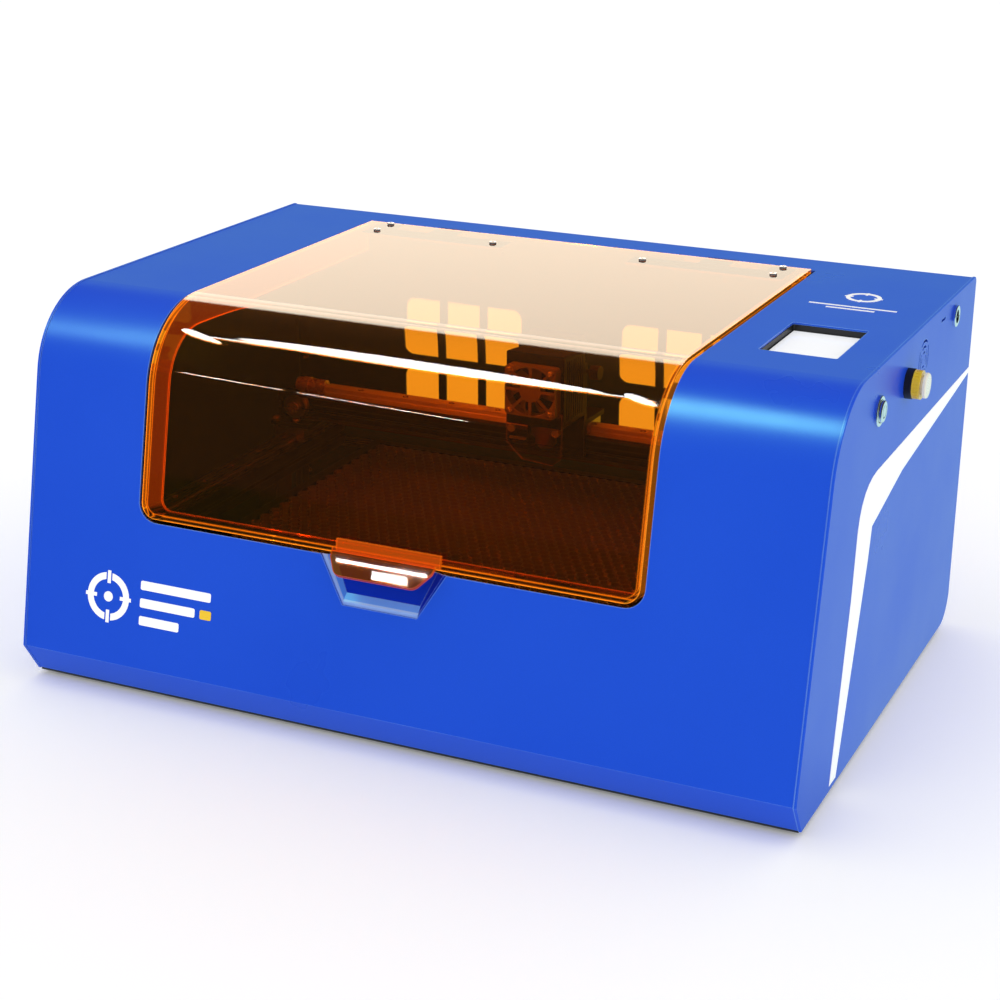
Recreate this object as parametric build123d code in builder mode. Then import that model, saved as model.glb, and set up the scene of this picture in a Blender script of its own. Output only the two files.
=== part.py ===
from build123d import *
import os
from math import atan, cos, radians, sin

# Desktop laser cutter in an enclosed sheet-metal casing.
# Frame: +Z up, the front faces -Y, +X to the right, the floor is z = 0 and the
# origin is under the middle of the whole footprint. All sizes are in millimetres.

os.makedirs("parts", exist_ok=True)

# Casing
WIDTH = 570.0
DEPTH = 400.0
HEIGHT = 268.0
FOOT = 5.0  # clear height under the casing
MID_X = -7.0  # the controls stand out on the right, so the casing sits left of the origin
LEAN = 0.187  # how far the front leans back for each millimetre of height
CHAMFER_Y = 15.5
CHAMFER_Z = 23.0
FRONT_RADIUS = 62.0
REAR_TOP_RADIUS = 4.0
REAR_BOTTOM_RADIUS = 22.0
SKIN = 1.5
SIDE_T = 2.0
SEAM = 0.2
SIDE_PROUD = 0.5
PAN_T = 2.0

LEFT_X = MID_X - WIDTH / 2
RIGHT_X = MID_X + WIDTH / 2
FRONT_Y = -DEPTH / 2
REAR_Y = DEPTH / 2
BASE_Z = FOOT
TOP_Z = BASE_Z + HEIGHT
SHELL_LEFT = LEFT_X + SIDE_T + SEAM
SHELL_WIDTH = WIDTH - 2 * (SIDE_T + SEAM)
REAR_FLANGE = 12.0
FLOOR_FLANGE_Y = 177.0  # the shell turns in under the front as far as this

# Lid, measured across, up the leaning front (s) and back over the top
LID_X = MID_X - 10.4
LID_WIDTH = 364.0
LID_T = 3.0
LID_PROUD = 1.5
LID_GAP = 3.0
LID_FLANGE = 20.0
LID_S = 107.0
LID_REAR_Y = 160.0
LID_CORNER = 11.0
LID_WALL_RELIEF = 12.0
OPENING_S = LID_S - LID_GAP
OPENING_REAR_Y = 163.0
OPENING_WIDTH = LID_WIDTH + 2 * LID_GAP

# Hinges of the lid
HINGE_Y = 166.0
HINGE_Z = TOP_Z - 6.0
HINGE_XS = (MID_X - 122.0, MID_X + 101.0)
LEAF_LENGTH = 120.0
LEAF_T = 1.5
BARREL_R = 3.0
PIN_R = 1.5
PIN_CLEARANCE = 0.05
LID_KNUCKLE = 24.0
BODY_KNUCKLE = 17.0
SCREW_ROW_Y = 130.0
SCREW_REAR_Y = 154.0

# Finger pocket under the lid
POCKET_X = MID_X - 6.7
POCKET_DEPTH = 5.0
POCKET_WALL = 1.2
POCKET_HALF_TOP = 46.5
POCKET_HALF_BOTTOM = 27.5
POCKET_LOW = 72.3

# Touch screen on the top
SCREEN_X = MID_X + 229.0
SCREEN_Y = -25.5
SCREEN_W = 52.0
SCREEN_D = 76.0

# Controls on the right side
POWER_Y, POWER_Z = -67.0, 244.0
STOP_Y, STOP_Z = 4.0, 243.5
# how far the parts of the controls stand out from the right flank
BEZEL_TOP, POWER_TOP = 1.6, 3.6
STOP_BASE_TOP, STOP_COLLAR_TOP = 5.0, 10.0
STOP_CAP_UNDER, STOP_CAP_T = 11.8, 2.4
INLET_TOP = 2.2
VENT_Y, VENT_Z = 47.0, 248.5
SLOT_Y, SLOT_Z = 99.5, 264.0
INLET_Y, INLET_Z = 135.0, 258.5
MARK_T = 0.25  # thickness of the stickers and prints

# Rear panel
WINDOW_XS = (MID_X - 129.0, MID_X + 62.0)
WINDOW_ZS = (128.0, 182.0)
WINDOW_W, WINDOW_H = 104.0, 40.0
WINDOW_BARS = (-18.0, 18.0)
EXHAUST_X, EXHAUST_Z = MID_X + 150.0, 145.0
EXHAUST_FAN = 60.0
EXHAUST_BORE = 28.5
EXHAUST_FAN_T = 20.0

# Work bed
BED_LEFT = MID_X - 190.0
BED_RIGHT = MID_X + 140.0
BED_FRONT, BED_REAR = -152.0, 160.0
BED_TOP = 91.0
BED_T = 20.0
BED_RIM = 8.0
REST_YS = (-110.0, 110.0)
POST_YS = (-120.0, 60.0)

# Y axis: two rails, one cross shaft at the rear and one at the front
RAIL_XS = (MID_X - 228.0, MID_X + 158.0)
RAIL_SIDES = (-1, 1)
RAIL_BEAM = 20.0
RAIL_BEAM_Z = 94.0
RAIL_FRONT, RAIL_REAR = -150.0, 158.0
BELT_OFFSET = 21.5
BELT_W = 6.0
BELT_T = 1.5
PULLEY_R = 8.0
SHAFT_R = 4.0
SHAFT_Y, SHAFT_Z = 170.0, 82.0
FRONT_SHAFT_Y = -168.0
BAY_X = MID_X + 187.0
BAY_T = 1.5

# Gantry
BEAM_Y, BEAM_Z, BEAM = 107.0, 132.0, 20.0
BEAM_LEFT = MID_X - 245.0
BEAM_RIGHT = MID_X + 175.0
X_RAIL_LEFT = MID_X - 205.0
X_RAIL_RIGHT = MID_X + 135.0
X_RAIL_Z = BEAM_Z + BEAM / 2
X_PULLEY_XS = (MID_X - 225.0, MID_X + 158.0)
X_PULLEY_Y, X_PULLEY_Z = 91.5, 134.0

# Laser head
HEAD_X = MID_X + 5.0
HEAD_W, HEAD_H = 46.0, 60.0
HEAD_FRONT, HEAD_BACK = 40.0, 79.6
HEAD_Z = 194.0
HEAD_FAN = 40.0
HEAD_BORE = 19.2
PLATE_T = 4.0
MOTOR = 42.0
MOTOR_CAP = 8.0
SCREW_HOLE_R = 1.6


# ---------------------------------------------------------------- shared shapes
def casing_outline(inset):
    """Side view of the casing, Y across and Z up, with every wall moved in by inset."""
    with BuildSketch() as outline:
        with BuildLine():
            Polyline(
                (FRONT_Y + CHAMFER_Y, BASE_Z),
                (FRONT_Y, BASE_Z + CHAMFER_Z),
                (FRONT_Y + LEAN * (HEIGHT - CHAMFER_Z), TOP_Z),
                (REAR_Y, TOP_Z),
                (REAR_Y, BASE_Z),
                close=True,
            )
        make_face()
        if inset != 0:
            offset(amount=-inset, kind=Kind.INTERSECTION)
        front_top = outline.vertices().group_by(Axis.Y)[-1].sort_by(Axis.X)[0]
        fillet(front_top, FRONT_RADIUS - inset)
        rear_top = outline.vertices().group_by(Axis.Y)[-1].sort_by(Axis.X)[-1]
        fillet(rear_top, max(REAR_TOP_RADIUS - inset, 0.5))
        rear_bottom = outline.vertices().group_by(Axis.X)[-1].sort_by(Axis.Y)[0]
        fillet(rear_bottom, max(REAR_BOTTOM_RADIUS - inset, 0.5))
    return outline.sketch


def front_plane(depth):
    """Plane of the leaning front, x to the right and y up the slope, moved in by depth."""
    slope = atan(LEAN)
    face = Plane(
        origin=(0, FRONT_Y, BASE_Z + CHAMFER_Z),
        x_dir=(1, 0, 0),
        z_dir=(0, -cos(slope), sin(slope)),
    )
    return face.offset(-depth)


def side_plane(y, z, out):
    """Plane on the right side panel at height z, facing out, with x to the rear."""
    return Plane(origin=(RIGHT_X + out, y, z), x_dir=(0, 1, 0), z_dir=(1, 0, 0))


def facing_front(x, y, z):
    """Plane across the machine that faces the front, with x to the right and y up."""
    return Plane(origin=(x, y, z), x_dir=(1, 0, 0), z_dir=(0, -1, 0))


def facing_rear(x, y, z):
    """Plane across the machine that faces the rear, with x to the left and y up."""
    return Plane(origin=(x, y, z), x_dir=(-1, 0, 0), z_dir=(0, 1, 0))


def facing_right(x, y, z):
    """Plane across the X direction, with x to the rear and y up."""
    return Plane(origin=(x, y, z), x_dir=(0, 1, 0), z_dir=(1, 0, 0))


def disc(plane, radius, length, hole=0.0):
    """Round bar or ring that starts on plane and runs along its normal."""
    with BuildPart() as bar:
        with BuildSketch(plane):
            Circle(radius)
            if hole > 0:
                Circle(hole, mode=Mode.SUBTRACT)
        extrude(amount=length)
    return bar.part


def fan_rotor(plane, hub, tip, depth, blades):
    """Axial fan rotor: a hub and flat blades pitched about their own length."""
    pitch = 38.0
    chord = (depth - 1.0) / cos(radians(pitch))
    with BuildPart(plane.offset(depth / 2)) as rotor:
        with PolarLocations((hub + tip) / 2 - 1, blades):
            Box(tip - hub + 4, 1.3, chord, rotation=(pitch, 0, 0))
        Cylinder(tip, depth, mode=Mode.INTERSECT)
        Cylinder(hub, depth)
    return rotor.part


def fan_frame(plane, size, bore, depth, strut_t, hub, struts):
    """Square fan housing whose hub is carried by struts on the outer face, at the end of depth."""
    with BuildPart() as frame:
        with BuildSketch(plane):
            RectangleRounded(size, size, 3.5)
            Circle(bore, mode=Mode.SUBTRACT)
            with GridLocations(size - 8, size - 8, 2, 2):
                Circle(1.7, mode=Mode.SUBTRACT)
        extrude(amount=depth)
        with BuildSketch(plane.offset(depth - strut_t)):
            Circle(hub)
            with PolarLocations(0, struts):
                with Locations(((hub + bore) / 2, 0)):
                    Rectangle(bore - hub + 2, 2.2)
        extrude(amount=strut_t)
    return frame.part


def toothed_pulley(plane, bore):
    """Flanged belt pulley that is 8 mm wide, with its bore on a shaft."""
    with BuildPart() as pulley:
        with BuildSketch(plane):
            Circle(PULLEY_R + 1.5)
            Circle(bore, mode=Mode.SUBTRACT)
        extrude(amount=0.9)
        with BuildSketch(plane.offset(0.9)):
            Circle(PULLEY_R - 0.8)
            with PolarLocations(PULLEY_R - 1.0, 20):
                Rectangle(1.0, 1.1)
            Circle(bore, mode=Mode.SUBTRACT)
        extrude(amount=6.2)
        with BuildSketch(plane.offset(7.1)):
            Circle(PULLEY_R + 1.5)
            Circle(bore, mode=Mode.SUBTRACT)
        extrude(amount=0.9)
    return pulley.part


def belt_loop(plane, span, offset_from_plane):
    """Closed belt round two equal pulleys, span apart along the plane's x direction."""
    with BuildPart() as belt:
        with BuildSketch(plane.offset(offset_from_plane)):
            SlotCenterToCenter(span, 2 * (PULLEY_R + BELT_T))
            SlotCenterToCenter(span, 2 * PULLEY_R, mode=Mode.SUBTRACT)
        extrude(amount=BELT_W)
    return belt.part


def extrusion_bar(plane, length):
    """Square aluminium section with a groove along each side."""
    with BuildPart() as bar:
        with BuildSketch(plane):
            RectangleRounded(BEAM, BEAM, 1.0)
            with PolarLocations(BEAM / 2 - 2, 4):
                Rectangle(4.2, 5.6, mode=Mode.SUBTRACT)
            Circle(2.1, mode=Mode.SUBTRACT)
        extrude(amount=length)
    return bar.part


OUTER = casing_outline(0)
INNER = casing_outline(SKIN)
LINING = casing_outline(SKIN + 0.7)
SIDE_OUTLINE = casing_outline(-SIDE_PROUD)

# ---------------------------------------------------------------- casing
PAN_FRONT = FRONT_Y + CHAMFER_Y + 1.0
PAN_REAR = REAR_Y - REAR_BOTTOM_RADIUS
BAY_MID_X = (BAY_X + RIGHT_X) / 2

with BuildPart() as base_pan:
    with BuildSketch(Plane.XY.offset(BASE_Z - PAN_T)):
        with Locations((MID_X, (PAN_FRONT + PAN_REAR) / 2)):
            Rectangle(SHELL_WIDTH, PAN_REAR - PAN_FRONT)
        with Locations((BAY_MID_X, -20)):
            with GridLocations(0, 9, 1, 10):
                SlotOverall(50, 3.5, mode=Mode.SUBTRACT)
    extrude(amount=PAN_T)
    with BuildSketch(Plane.XY.offset(BASE_Z)):
        with Locations((MID_X, 0)):
            with GridLocations(SHELL_WIDTH - 1.5, 0, 2, 1):
                Rectangle(1.5, PAN_REAR - PAN_FRONT - 40)
    extrude(amount=16)

with BuildPart() as front_top_shell:
    with BuildSketch(Plane.YZ.offset(SHELL_LEFT)):
        add(OUTER)
        add(INNER, mode=Mode.SUBTRACT)
    extrude(amount=SHELL_WIDTH)
    # the rear and the floor are other panels
    with Locations((MID_X, 150, (TOP_Z - REAR_FLANGE) / 2)):
        Box(WIDTH, 110, TOP_Z - REAR_FLANGE, mode=Mode.SUBTRACT)
    with Locations((MID_X, 0, BASE_Z)):
        Box(WIDTH, 2 * FLOOR_FLANGE_Y, 8, mode=Mode.SUBTRACT)
    # lid opening up the front
    with BuildSketch(front_plane(-6)) as opening_front:
        with Locations((LID_X, (OPENING_S + 205) / 2)):
            Rectangle(OPENING_WIDTH, 205 - OPENING_S)
        fillet(opening_front.vertices().group_by(Axis.Y)[0], LID_CORNER + LID_GAP)
    extrude(amount=-12, mode=Mode.SUBTRACT)
    # lid opening over the bend and the top
    with Locations((LID_X, (OPENING_REAR_Y - 172) / 2, TOP_Z - 22)):
        Box(OPENING_WIDTH, OPENING_REAR_Y + 172, 52, mode=Mode.SUBTRACT)
    # relief for the middle knuckle of each hinge
    for hinge_x in HINGE_XS:
        with Locations((hinge_x, OPENING_REAR_Y + 2.5, TOP_Z)):
            Box(LID_KNUCKLE + 2, 8, 8, mode=Mode.SUBTRACT)
    # finger pocket and screen window
    with BuildSketch(front_plane(-6)):
        with Locations((POCKET_X, 0)):
            Polygon(
                (-POCKET_HALF_TOP, OPENING_S + 1),
                (-POCKET_HALF_BOTTOM, POCKET_LOW),
                (POCKET_HALF_BOTTOM, POCKET_LOW),
                (POCKET_HALF_TOP, OPENING_S + 1),
                align=None,
            )
    extrude(amount=-12, mode=Mode.SUBTRACT)
    with BuildSketch(Plane.XY.offset(TOP_Z + 1)):
        with Locations((SCREEN_X, SCREEN_Y)):
            RectangleRounded(SCREEN_W, SCREEN_D, 1.5)
    extrude(amount=-4, mode=Mode.SUBTRACT)

with BuildPart() as left_side_panel:
    with BuildSketch(Plane.YZ.offset(LEFT_X)):
        add(SIDE_OUTLINE)
    extrude(amount=SIDE_T)
    fillet(left_side_panel.faces().sort_by(Axis.X)[0].outer_wire().edges(), 0.6)

with BuildPart() as right_side_panel:
    with BuildSketch(Plane.YZ.offset(RIGHT_X - SIDE_T)):
        add(SIDE_OUTLINE)
    extrude(amount=SIDE_T)
    fillet(right_side_panel.faces().sort_by(Axis.X)[-1].outer_wire().edges(), 0.6)
    with BuildSketch(Plane.YZ.offset(RIGHT_X)):
        with Locations((POWER_Y, POWER_Z)):
            Circle(8.2)
        with Locations((STOP_Y, STOP_Z)):
            Circle(8.2)
        with Locations((INLET_Y, INLET_Z)):
            Circle(6.0)
        with Locations((SLOT_Y, SLOT_Z)):
            Rectangle(12.5, 2.2)
    extrude(amount=-SIDE_T, mode=Mode.SUBTRACT)
    # concentric slots of the round vent
    with BuildSketch(Plane.YZ.offset(RIGHT_X)):
        with Locations((VENT_Y, VENT_Z)):
            for slot_r in (13.0, 9.0, 5.0):
                Circle(slot_r + 0.9)
                Circle(slot_r - 0.9, mode=Mode.SUBTRACT)
            Circle(1.6)
            Rectangle(3.0, 32, rotation=45, mode=Mode.SUBTRACT)
            Rectangle(3.0, 32, rotation=-45, mode=Mode.SUBTRACT)
    extrude(amount=-SIDE_T, mode=Mode.SUBTRACT)

SCREW_TOP_Z = 248.0
REAR_SCREWS = [(MID_X + x, SCREW_TOP_Z) for x in (-95, 95)]
for screw_x in (SHELL_LEFT + 8, SHELL_LEFT + SHELL_WIDTH - 8):
    REAR_SCREWS += [(screw_x, screw_z) for screw_z in (40, 145, SCREW_TOP_Z)]
WINDOW_BAR_PLACES = [(x + bar, sum(WINDOW_ZS) / 2) for x in WINDOW_XS for bar in WINDOW_BARS]

with BuildPart() as rear_panel:
    with BuildSketch(Plane.YZ.offset(SHELL_LEFT)):
        add(OUTER)
        add(INNER, mode=Mode.SUBTRACT)
    extrude(amount=SHELL_WIDTH)
    with Locations((MID_X, REAR_Y, (TOP_Z - REAR_FLANGE - SEAM) / 2)):
        Box(WIDTH, 2 * (REAR_Y - 176.3), TOP_Z - REAR_FLANGE - SEAM, mode=Mode.INTERSECT)
    with BuildSketch(Plane.XZ.offset(-REAR_Y - 1)):
        for window_x in WINDOW_XS:
            for window_z in WINDOW_ZS:
                with Locations((window_x, window_z)):
                    RectangleRounded(WINDOW_W, WINDOW_H, 8)
        with Locations(*WINDOW_BAR_PLACES):
            Rectangle(7, 110, mode=Mode.SUBTRACT)
        with Locations((EXHAUST_X, EXHAUST_Z)):
            Circle(EXHAUST_BORE)
        with Locations(*REAR_SCREWS):
            Circle(SCREW_HOLE_R)
    extrude(amount=4, mode=Mode.SUBTRACT)

SCREW_HEAD = 1.6

with BuildPart() as casing_screws:
    for screw_x, screw_z in REAR_SCREWS:
        screw_face = facing_rear(screw_x, REAR_Y, screw_z)
        add(disc(screw_face, 2.9, SCREW_HEAD))
        add(disc(screw_face.offset(-6), SCREW_HOLE_R - 0.1, 6.5))
        # cross recess
        with BuildSketch(screw_face.offset(SCREW_HEAD)):
            Rectangle(3.4, 0.9)
            Rectangle(0.9, 3.4)
        extrude(amount=-1.0, mode=Mode.SUBTRACT)
    chamfer(casing_screws.edges().filter_by(GeomType.CIRCLE).group_by(Axis.Y)[-1], 0.5)

with BuildPart() as rubber_feet:
    with Locations((MID_X, -8, 0)):
        with GridLocations(WIDTH - 80, DEPTH - 100, 2, 2):
            Cone(9, 10.5, BASE_Z - PAN_T, align=(Align.CENTER, Align.CENTER, Align.MIN))


def pocket_solid(near, far, grow, top):
    """Trapezium block that narrows from depth near to depth far behind the front."""
    with BuildPart() as solid:
        for depth in (near, far):
            share = depth / POCKET_DEPTH
            half_top = POCKET_HALF_TOP - 8.5 * share + grow
            half_bottom = POCKET_HALF_BOTTOM - 0.3 * share + grow
            low = POCKET_LOW + 7.7 * share - grow
            with BuildSketch(front_plane(depth)):
                with Locations((POCKET_X, 0)):
                    Polygon(
                        (-half_top, top),
                        (-half_bottom, low),
                        (half_bottom, low),
                        (half_top, top),
                        align=None,
                    )
        loft()
    return solid.part


POCKET_OUTSIDE = pocket_solid(SKIN, POCKET_DEPTH + POCKET_WALL, POCKET_WALL, OPENING_S)
POCKET_INSIDE = pocket_solid(0, POCKET_DEPTH, 0, OPENING_S + 1)

with BuildPart() as finger_pocket:
    with BuildSketch(front_plane(SKIN)):
        with Locations((POCKET_X, 0)):
            Polygon((-54, OPENING_S), (-34, 64), (34, 64), (54, OPENING_S), align=None)
    extrude(amount=-POCKET_WALL)
    add(POCKET_OUTSIDE)
    add(POCKET_INSIDE, mode=Mode.SUBTRACT)

with BuildPart() as bay_wall:
    with BuildSketch(Plane.YZ.offset(BAY_X)):
        add(LINING)
        with Locations((SHAFT_Y, SHAFT_Z)):
            Circle(SHAFT_R + 2, mode=Mode.SUBTRACT)
        with Locations((-60, 40)):
            SlotOverall(40, 12, mode=Mode.SUBTRACT)
    extrude(amount=BAY_T)

# ---------------------------------------------------------------- printed marks
with BuildPart() as printed_marks:
    # stripe on both flanks
    for stripe_x, outwards in ((RIGHT_X, MARK_T), (LEFT_X, -MARK_T)):
        with BuildSketch(Plane.YZ.offset(stripe_x)) as stripe:
            with BuildLine():
                Polyline(
                    (REAR_Y - 1.5, 204.6),
                    (-60, 202.4),
                    (-70, 201.4),
                    (-79, 198.9),
                    (-86.5, 194.8),
                    (-92.5, 189),
                    (-96.5, 182),
                    (-99, 173),
                    (-103.5, 129),
                    (-126, 9),
                    (-111.5, 9),
                    (-68.5, 143.5),
                    (-63.5, 166),
                    (-54, 168),
                    (9, 182),
                    (REAR_Y - 1.5, 200.6),
                    close=True,
                )
            make_face()
        extrude(amount=outwards)
    # target ring, cross hairs and three bars on the front
    with BuildSketch(front_plane(0)):
        with Locations((MID_X - 216, 47)):
            Circle(17)
            Circle(12.2, mode=Mode.SUBTRACT)
            Rectangle(5, 40, mode=Mode.SUBTRACT)
            with PolarLocations(14, 4):
                Rectangle(9, 2.6)
            Circle(3.6)
        for row, bar_length in enumerate((56, 44, 32)):
            with Locations((MID_X - 190 + bar_length / 2, 59.5 - 12.5 * row)):
                RectangleRounded(bar_length, 6.4, 1.2)
    extrude(amount=MARK_T)
    # small target and lines behind the screen
    with BuildSketch(Plane.XY.offset(TOP_Z)):
        with Locations((MID_X + 228, 99)):
            Circle(12.5)
            Circle(9.4, mode=Mode.SUBTRACT)
            with PolarLocations(10.5, 4):
                Rectangle(6, 1.8)
        with Locations((MID_X + 228, 70)):
            Rectangle(62, 2.2)
        with Locations((MID_X + 228, 63)):
            Rectangle(34, 2.2)
    extrude(amount=MARK_T)

# ---------------------------------------------------------------- controls
with BuildPart() as screen_bezel:
    with BuildSketch(Plane.XY.offset(TOP_Z - SKIN)):
        with Locations((SCREEN_X, SCREEN_Y)):
            RectangleRounded(SCREEN_W + 12, SCREEN_D + 12, 3)
            RectangleRounded(SCREEN_W - 1, SCREEN_D - 1, 1.5, mode=Mode.SUBTRACT)
    extrude(amount=-4)

with BuildPart() as touch_screen:
    with BuildSketch(Plane.XY.offset(TOP_Z - SKIN - 4)):
        with Locations((SCREEN_X, SCREEN_Y)):
            RectangleRounded(SCREEN_W + 6, SCREEN_D + 8, 1)
    extrude(amount=-3.2)
    with BuildSketch(Plane.XY.offset(TOP_Z - SKIN - 7.2)):
        with Locations((SCREEN_X, SCREEN_Y)):
            Rectangle(SCREEN_W + 2, SCREEN_D + 4)
    extrude(amount=-1.6)

with BuildPart() as power_button_bezel:
    add(disc(side_plane(POWER_Y, POWER_Z, 0), 10, BEZEL_TOP, 7.4))
    add(disc(side_plane(POWER_Y, POWER_Z, -14), 8, 14, 7.4))
    add(disc(side_plane(POWER_Y, POWER_Z, -15), 8, 1.2))
    fillet(power_button_bezel.edges().filter_by(GeomType.CIRCLE).group_by(Axis.X)[-1], 0.7)

with BuildPart() as power_button:
    add(disc(side_plane(POWER_Y, POWER_Z, -10), 7.1, 10 + POWER_TOP))
    fillet(power_button.edges().group_by(Axis.X)[-1], 0.9)
    with BuildSketch(side_plane(POWER_Y, POWER_Z, POWER_TOP)):
        Circle(4.4)
        Circle(3.7, mode=Mode.SUBTRACT)
    extrude(amount=-0.4, mode=Mode.SUBTRACT)

with BuildPart() as stop_switch_base:
    add(disc(side_plane(STOP_Y, STOP_Z, 0), 10.2, STOP_BASE_TOP, 6.2))
    add(disc(side_plane(STOP_Y, STOP_Z, -18), 8, 18, 6.2))
    add(disc(side_plane(STOP_Y, STOP_Z, -19.5), 8, 1.6))
    chamfer(stop_switch_base.edges().filter_by(GeomType.CIRCLE).group_by(Axis.X)[-1], 0.5)

with BuildPart() as stop_switch_collar:
    add(disc(side_plane(STOP_Y, STOP_Z, STOP_BASE_TOP), 9.7, STOP_COLLAR_TOP - STOP_BASE_TOP, 6.2))
    with BuildSketch(side_plane(STOP_Y, STOP_Z, STOP_BASE_TOP + 1)):
        with PolarLocations(9.9, 24):
            Rectangle(1.0, 1.0)
    extrude(amount=STOP_COLLAR_TOP - STOP_BASE_TOP - 2, mode=Mode.SUBTRACT)

with BuildPart() as stop_button:
    add(disc(side_plane(STOP_Y, STOP_Z, -14), 5.9, 14 + STOP_CAP_UNDER))
    add(disc(side_plane(STOP_Y, STOP_Z, STOP_CAP_UNDER), 8.6, STOP_CAP_T))
    fillet(stop_button.edges().group_by(Axis.X)[-1], 1.2)

with BuildPart() as power_inlet:
    add(disc(side_plane(INLET_Y, INLET_Z, 0), 7.7, INLET_TOP, 4.6))
    add(disc(side_plane(INLET_Y, INLET_Z, -16), 5.9, 16, 4.6))
    add(disc(side_plane(INLET_Y, INLET_Z, -17.5), 5.9, 1.6))
    add(disc(side_plane(INLET_Y, INLET_Z, -16.5), 1.0, 17))
    chamfer(power_inlet.edges().filter_by(GeomType.CIRCLE).group_by(Axis.X)[-1], 0.4)

BOARD_X, BOARD_Y, BOARD_Z = BAY_MID_X + 4, -30.0, BASE_Z + 12.0

with BuildPart() as control_board:
    with Locations((BOARD_X, BOARD_Y, BOARD_Z)):
        Box(72, 120, 1.6)
        with GridLocations(62, 110, 2, 2):
            Cylinder(3, 12.0 - 0.8, align=(Align.CENTER, Align.CENTER, Align.MAX))
    with Locations((BOARD_X - 8, BOARD_Y + 10, BOARD_Z + 0.8)):
        Box(18, 18, 2.4, align=(Align.CENTER, Align.CENTER, Align.MIN))
    with Locations((BOARD_X + 18, BOARD_Y, BOARD_Z + 0.8)):
        with GridLocations(0, 24, 1, 4):
            Box(14, 16, 12, align=(Align.CENTER, Align.CENTER, Align.MIN))
    with Locations((BOARD_X - 24, BOARD_Y - 20, BOARD_Z + 0.8)):
        with GridLocations(0, 16, 1, 3):
            Cylinder(5, 13, align=(Align.CENTER, Align.CENTER, Align.MIN))

# ---------------------------------------------------------------- exhaust
EXHAUST_FACE = REAR_Y - SKIN - 0.1
exhaust_fan_plane = facing_rear(EXHAUST_X, EXHAUST_FACE - EXHAUST_FAN_T, EXHAUST_Z)

with BuildPart() as exhaust_fan_frame:
    add(fan_frame(exhaust_fan_plane, EXHAUST_FAN, EXHAUST_BORE, EXHAUST_FAN_T, 2, 13, 5))

with BuildPart() as exhaust_fan_rotor:
    add(fan_rotor(exhaust_fan_plane.offset(1), 12.5, EXHAUST_BORE - 0.9, 15.5, 7))

with BuildPart() as exhaust_flange:
    with BuildSketch(exhaust_fan_plane.offset(EXHAUST_FAN_T + SKIN + 0.1)):
        RectangleRounded(EXHAUST_FAN + 6, EXHAUST_FAN + 6, 5)
        Circle(EXHAUST_BORE, mode=Mode.SUBTRACT)
    extrude(amount=2)
    with BuildSketch(exhaust_fan_plane.offset(EXHAUST_FAN_T + SKIN + 2)):
        Circle(EXHAUST_BORE + 2)
        Circle(EXHAUST_BORE, mode=Mode.SUBTRACT)
    extrude(amount=4)

# ---------------------------------------------------------------- work bed
BED_X = (BED_LEFT + BED_RIGHT) / 2
BED_Y = (BED_FRONT + BED_REAR) / 2
BED_W = BED_RIGHT - BED_LEFT
BED_D = BED_REAR - BED_FRONT

with BuildPart() as bed_frame:
    with BuildSketch(Plane.XY.offset(BED_TOP - BED_T)):
        with Locations((BED_X, BED_Y)):
            RectangleRounded(BED_W, BED_D, 2)
            Rectangle(BED_W - 2 * BED_RIM, BED_D - 2 * BED_RIM, mode=Mode.SUBTRACT)
    extrude(amount=BED_T)

with BuildPart() as honeycomb_core:
    with BuildSketch(Plane.XY.offset(BED_TOP - BED_T + 1)):
        with Locations((BED_X, BED_Y)):
            Rectangle(BED_W - 2 * BED_RIM, BED_D - 2 * BED_RIM)
    extrude(amount=BED_T - 1.5)

POST_Z = RAIL_BEAM_Z - RAIL_BEAM / 2

with BuildPart() as frame_supports:
    for post_x in RAIL_XS:
        for post_y in POST_YS:
            with Locations((post_x, post_y, (BASE_Z + POST_Z) / 2)):
                Box(16, 24, POST_Z - BASE_Z)
    for rest_y in REST_YS:
        with Locations((BED_X, rest_y, (BASE_Z + BED_TOP - BED_T) / 2)):
            Box(BED_W - 12, 14, BED_TOP - BED_T - BASE_Z)

# ---------------------------------------------------------------- Y axis
with BuildPart() as rail_beams:
    for rail_x in RAIL_XS:
        add(extrusion_bar(facing_front(rail_x, RAIL_REAR, RAIL_BEAM_Z), RAIL_REAR - RAIL_FRONT))

RAIL_Z = RAIL_BEAM_Z + RAIL_BEAM / 2

with BuildPart() as y_rails:
    for rail_x in RAIL_XS:
        with BuildSketch(facing_front(rail_x, RAIL_REAR - 4, RAIL_Z)):
            with Locations((0, 4)):
                Rectangle(12, 8)
            with Locations((-6, 5), (6, 5)):
                Circle(1.2, mode=Mode.SUBTRACT)
        extrude(amount=RAIL_REAR - RAIL_FRONT - 8)

BELT_XS = [x + side * BELT_OFFSET for x, side in zip(RAIL_XS, RAIL_SIDES)]
SHAFT_LEFT = MID_X - 268.0
SHAFT_RIGHT = MID_X + 205.0
FRONT_SHAFT_RIGHT = MID_X + 186.0

with BuildPart() as y_shaft:
    add(disc(facing_right(SHAFT_LEFT, SHAFT_Y, SHAFT_Z), SHAFT_R, SHAFT_RIGHT - SHAFT_LEFT))

with BuildPart() as front_shaft:
    add(disc(facing_right(SHAFT_LEFT, FRONT_SHAFT_Y, SHAFT_Z), SHAFT_R, FRONT_SHAFT_RIGHT - SHAFT_LEFT))

with BuildPart() as y_pulleys:
    for belt_x in BELT_XS:
        add(toothed_pulley(facing_right(belt_x - 4, SHAFT_Y, SHAFT_Z), SHAFT_R))

with BuildPart() as front_pulleys:
    for belt_x in BELT_XS:
        add(toothed_pulley(facing_right(belt_x - 4, FRONT_SHAFT_Y, SHAFT_Z), SHAFT_R))

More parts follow.
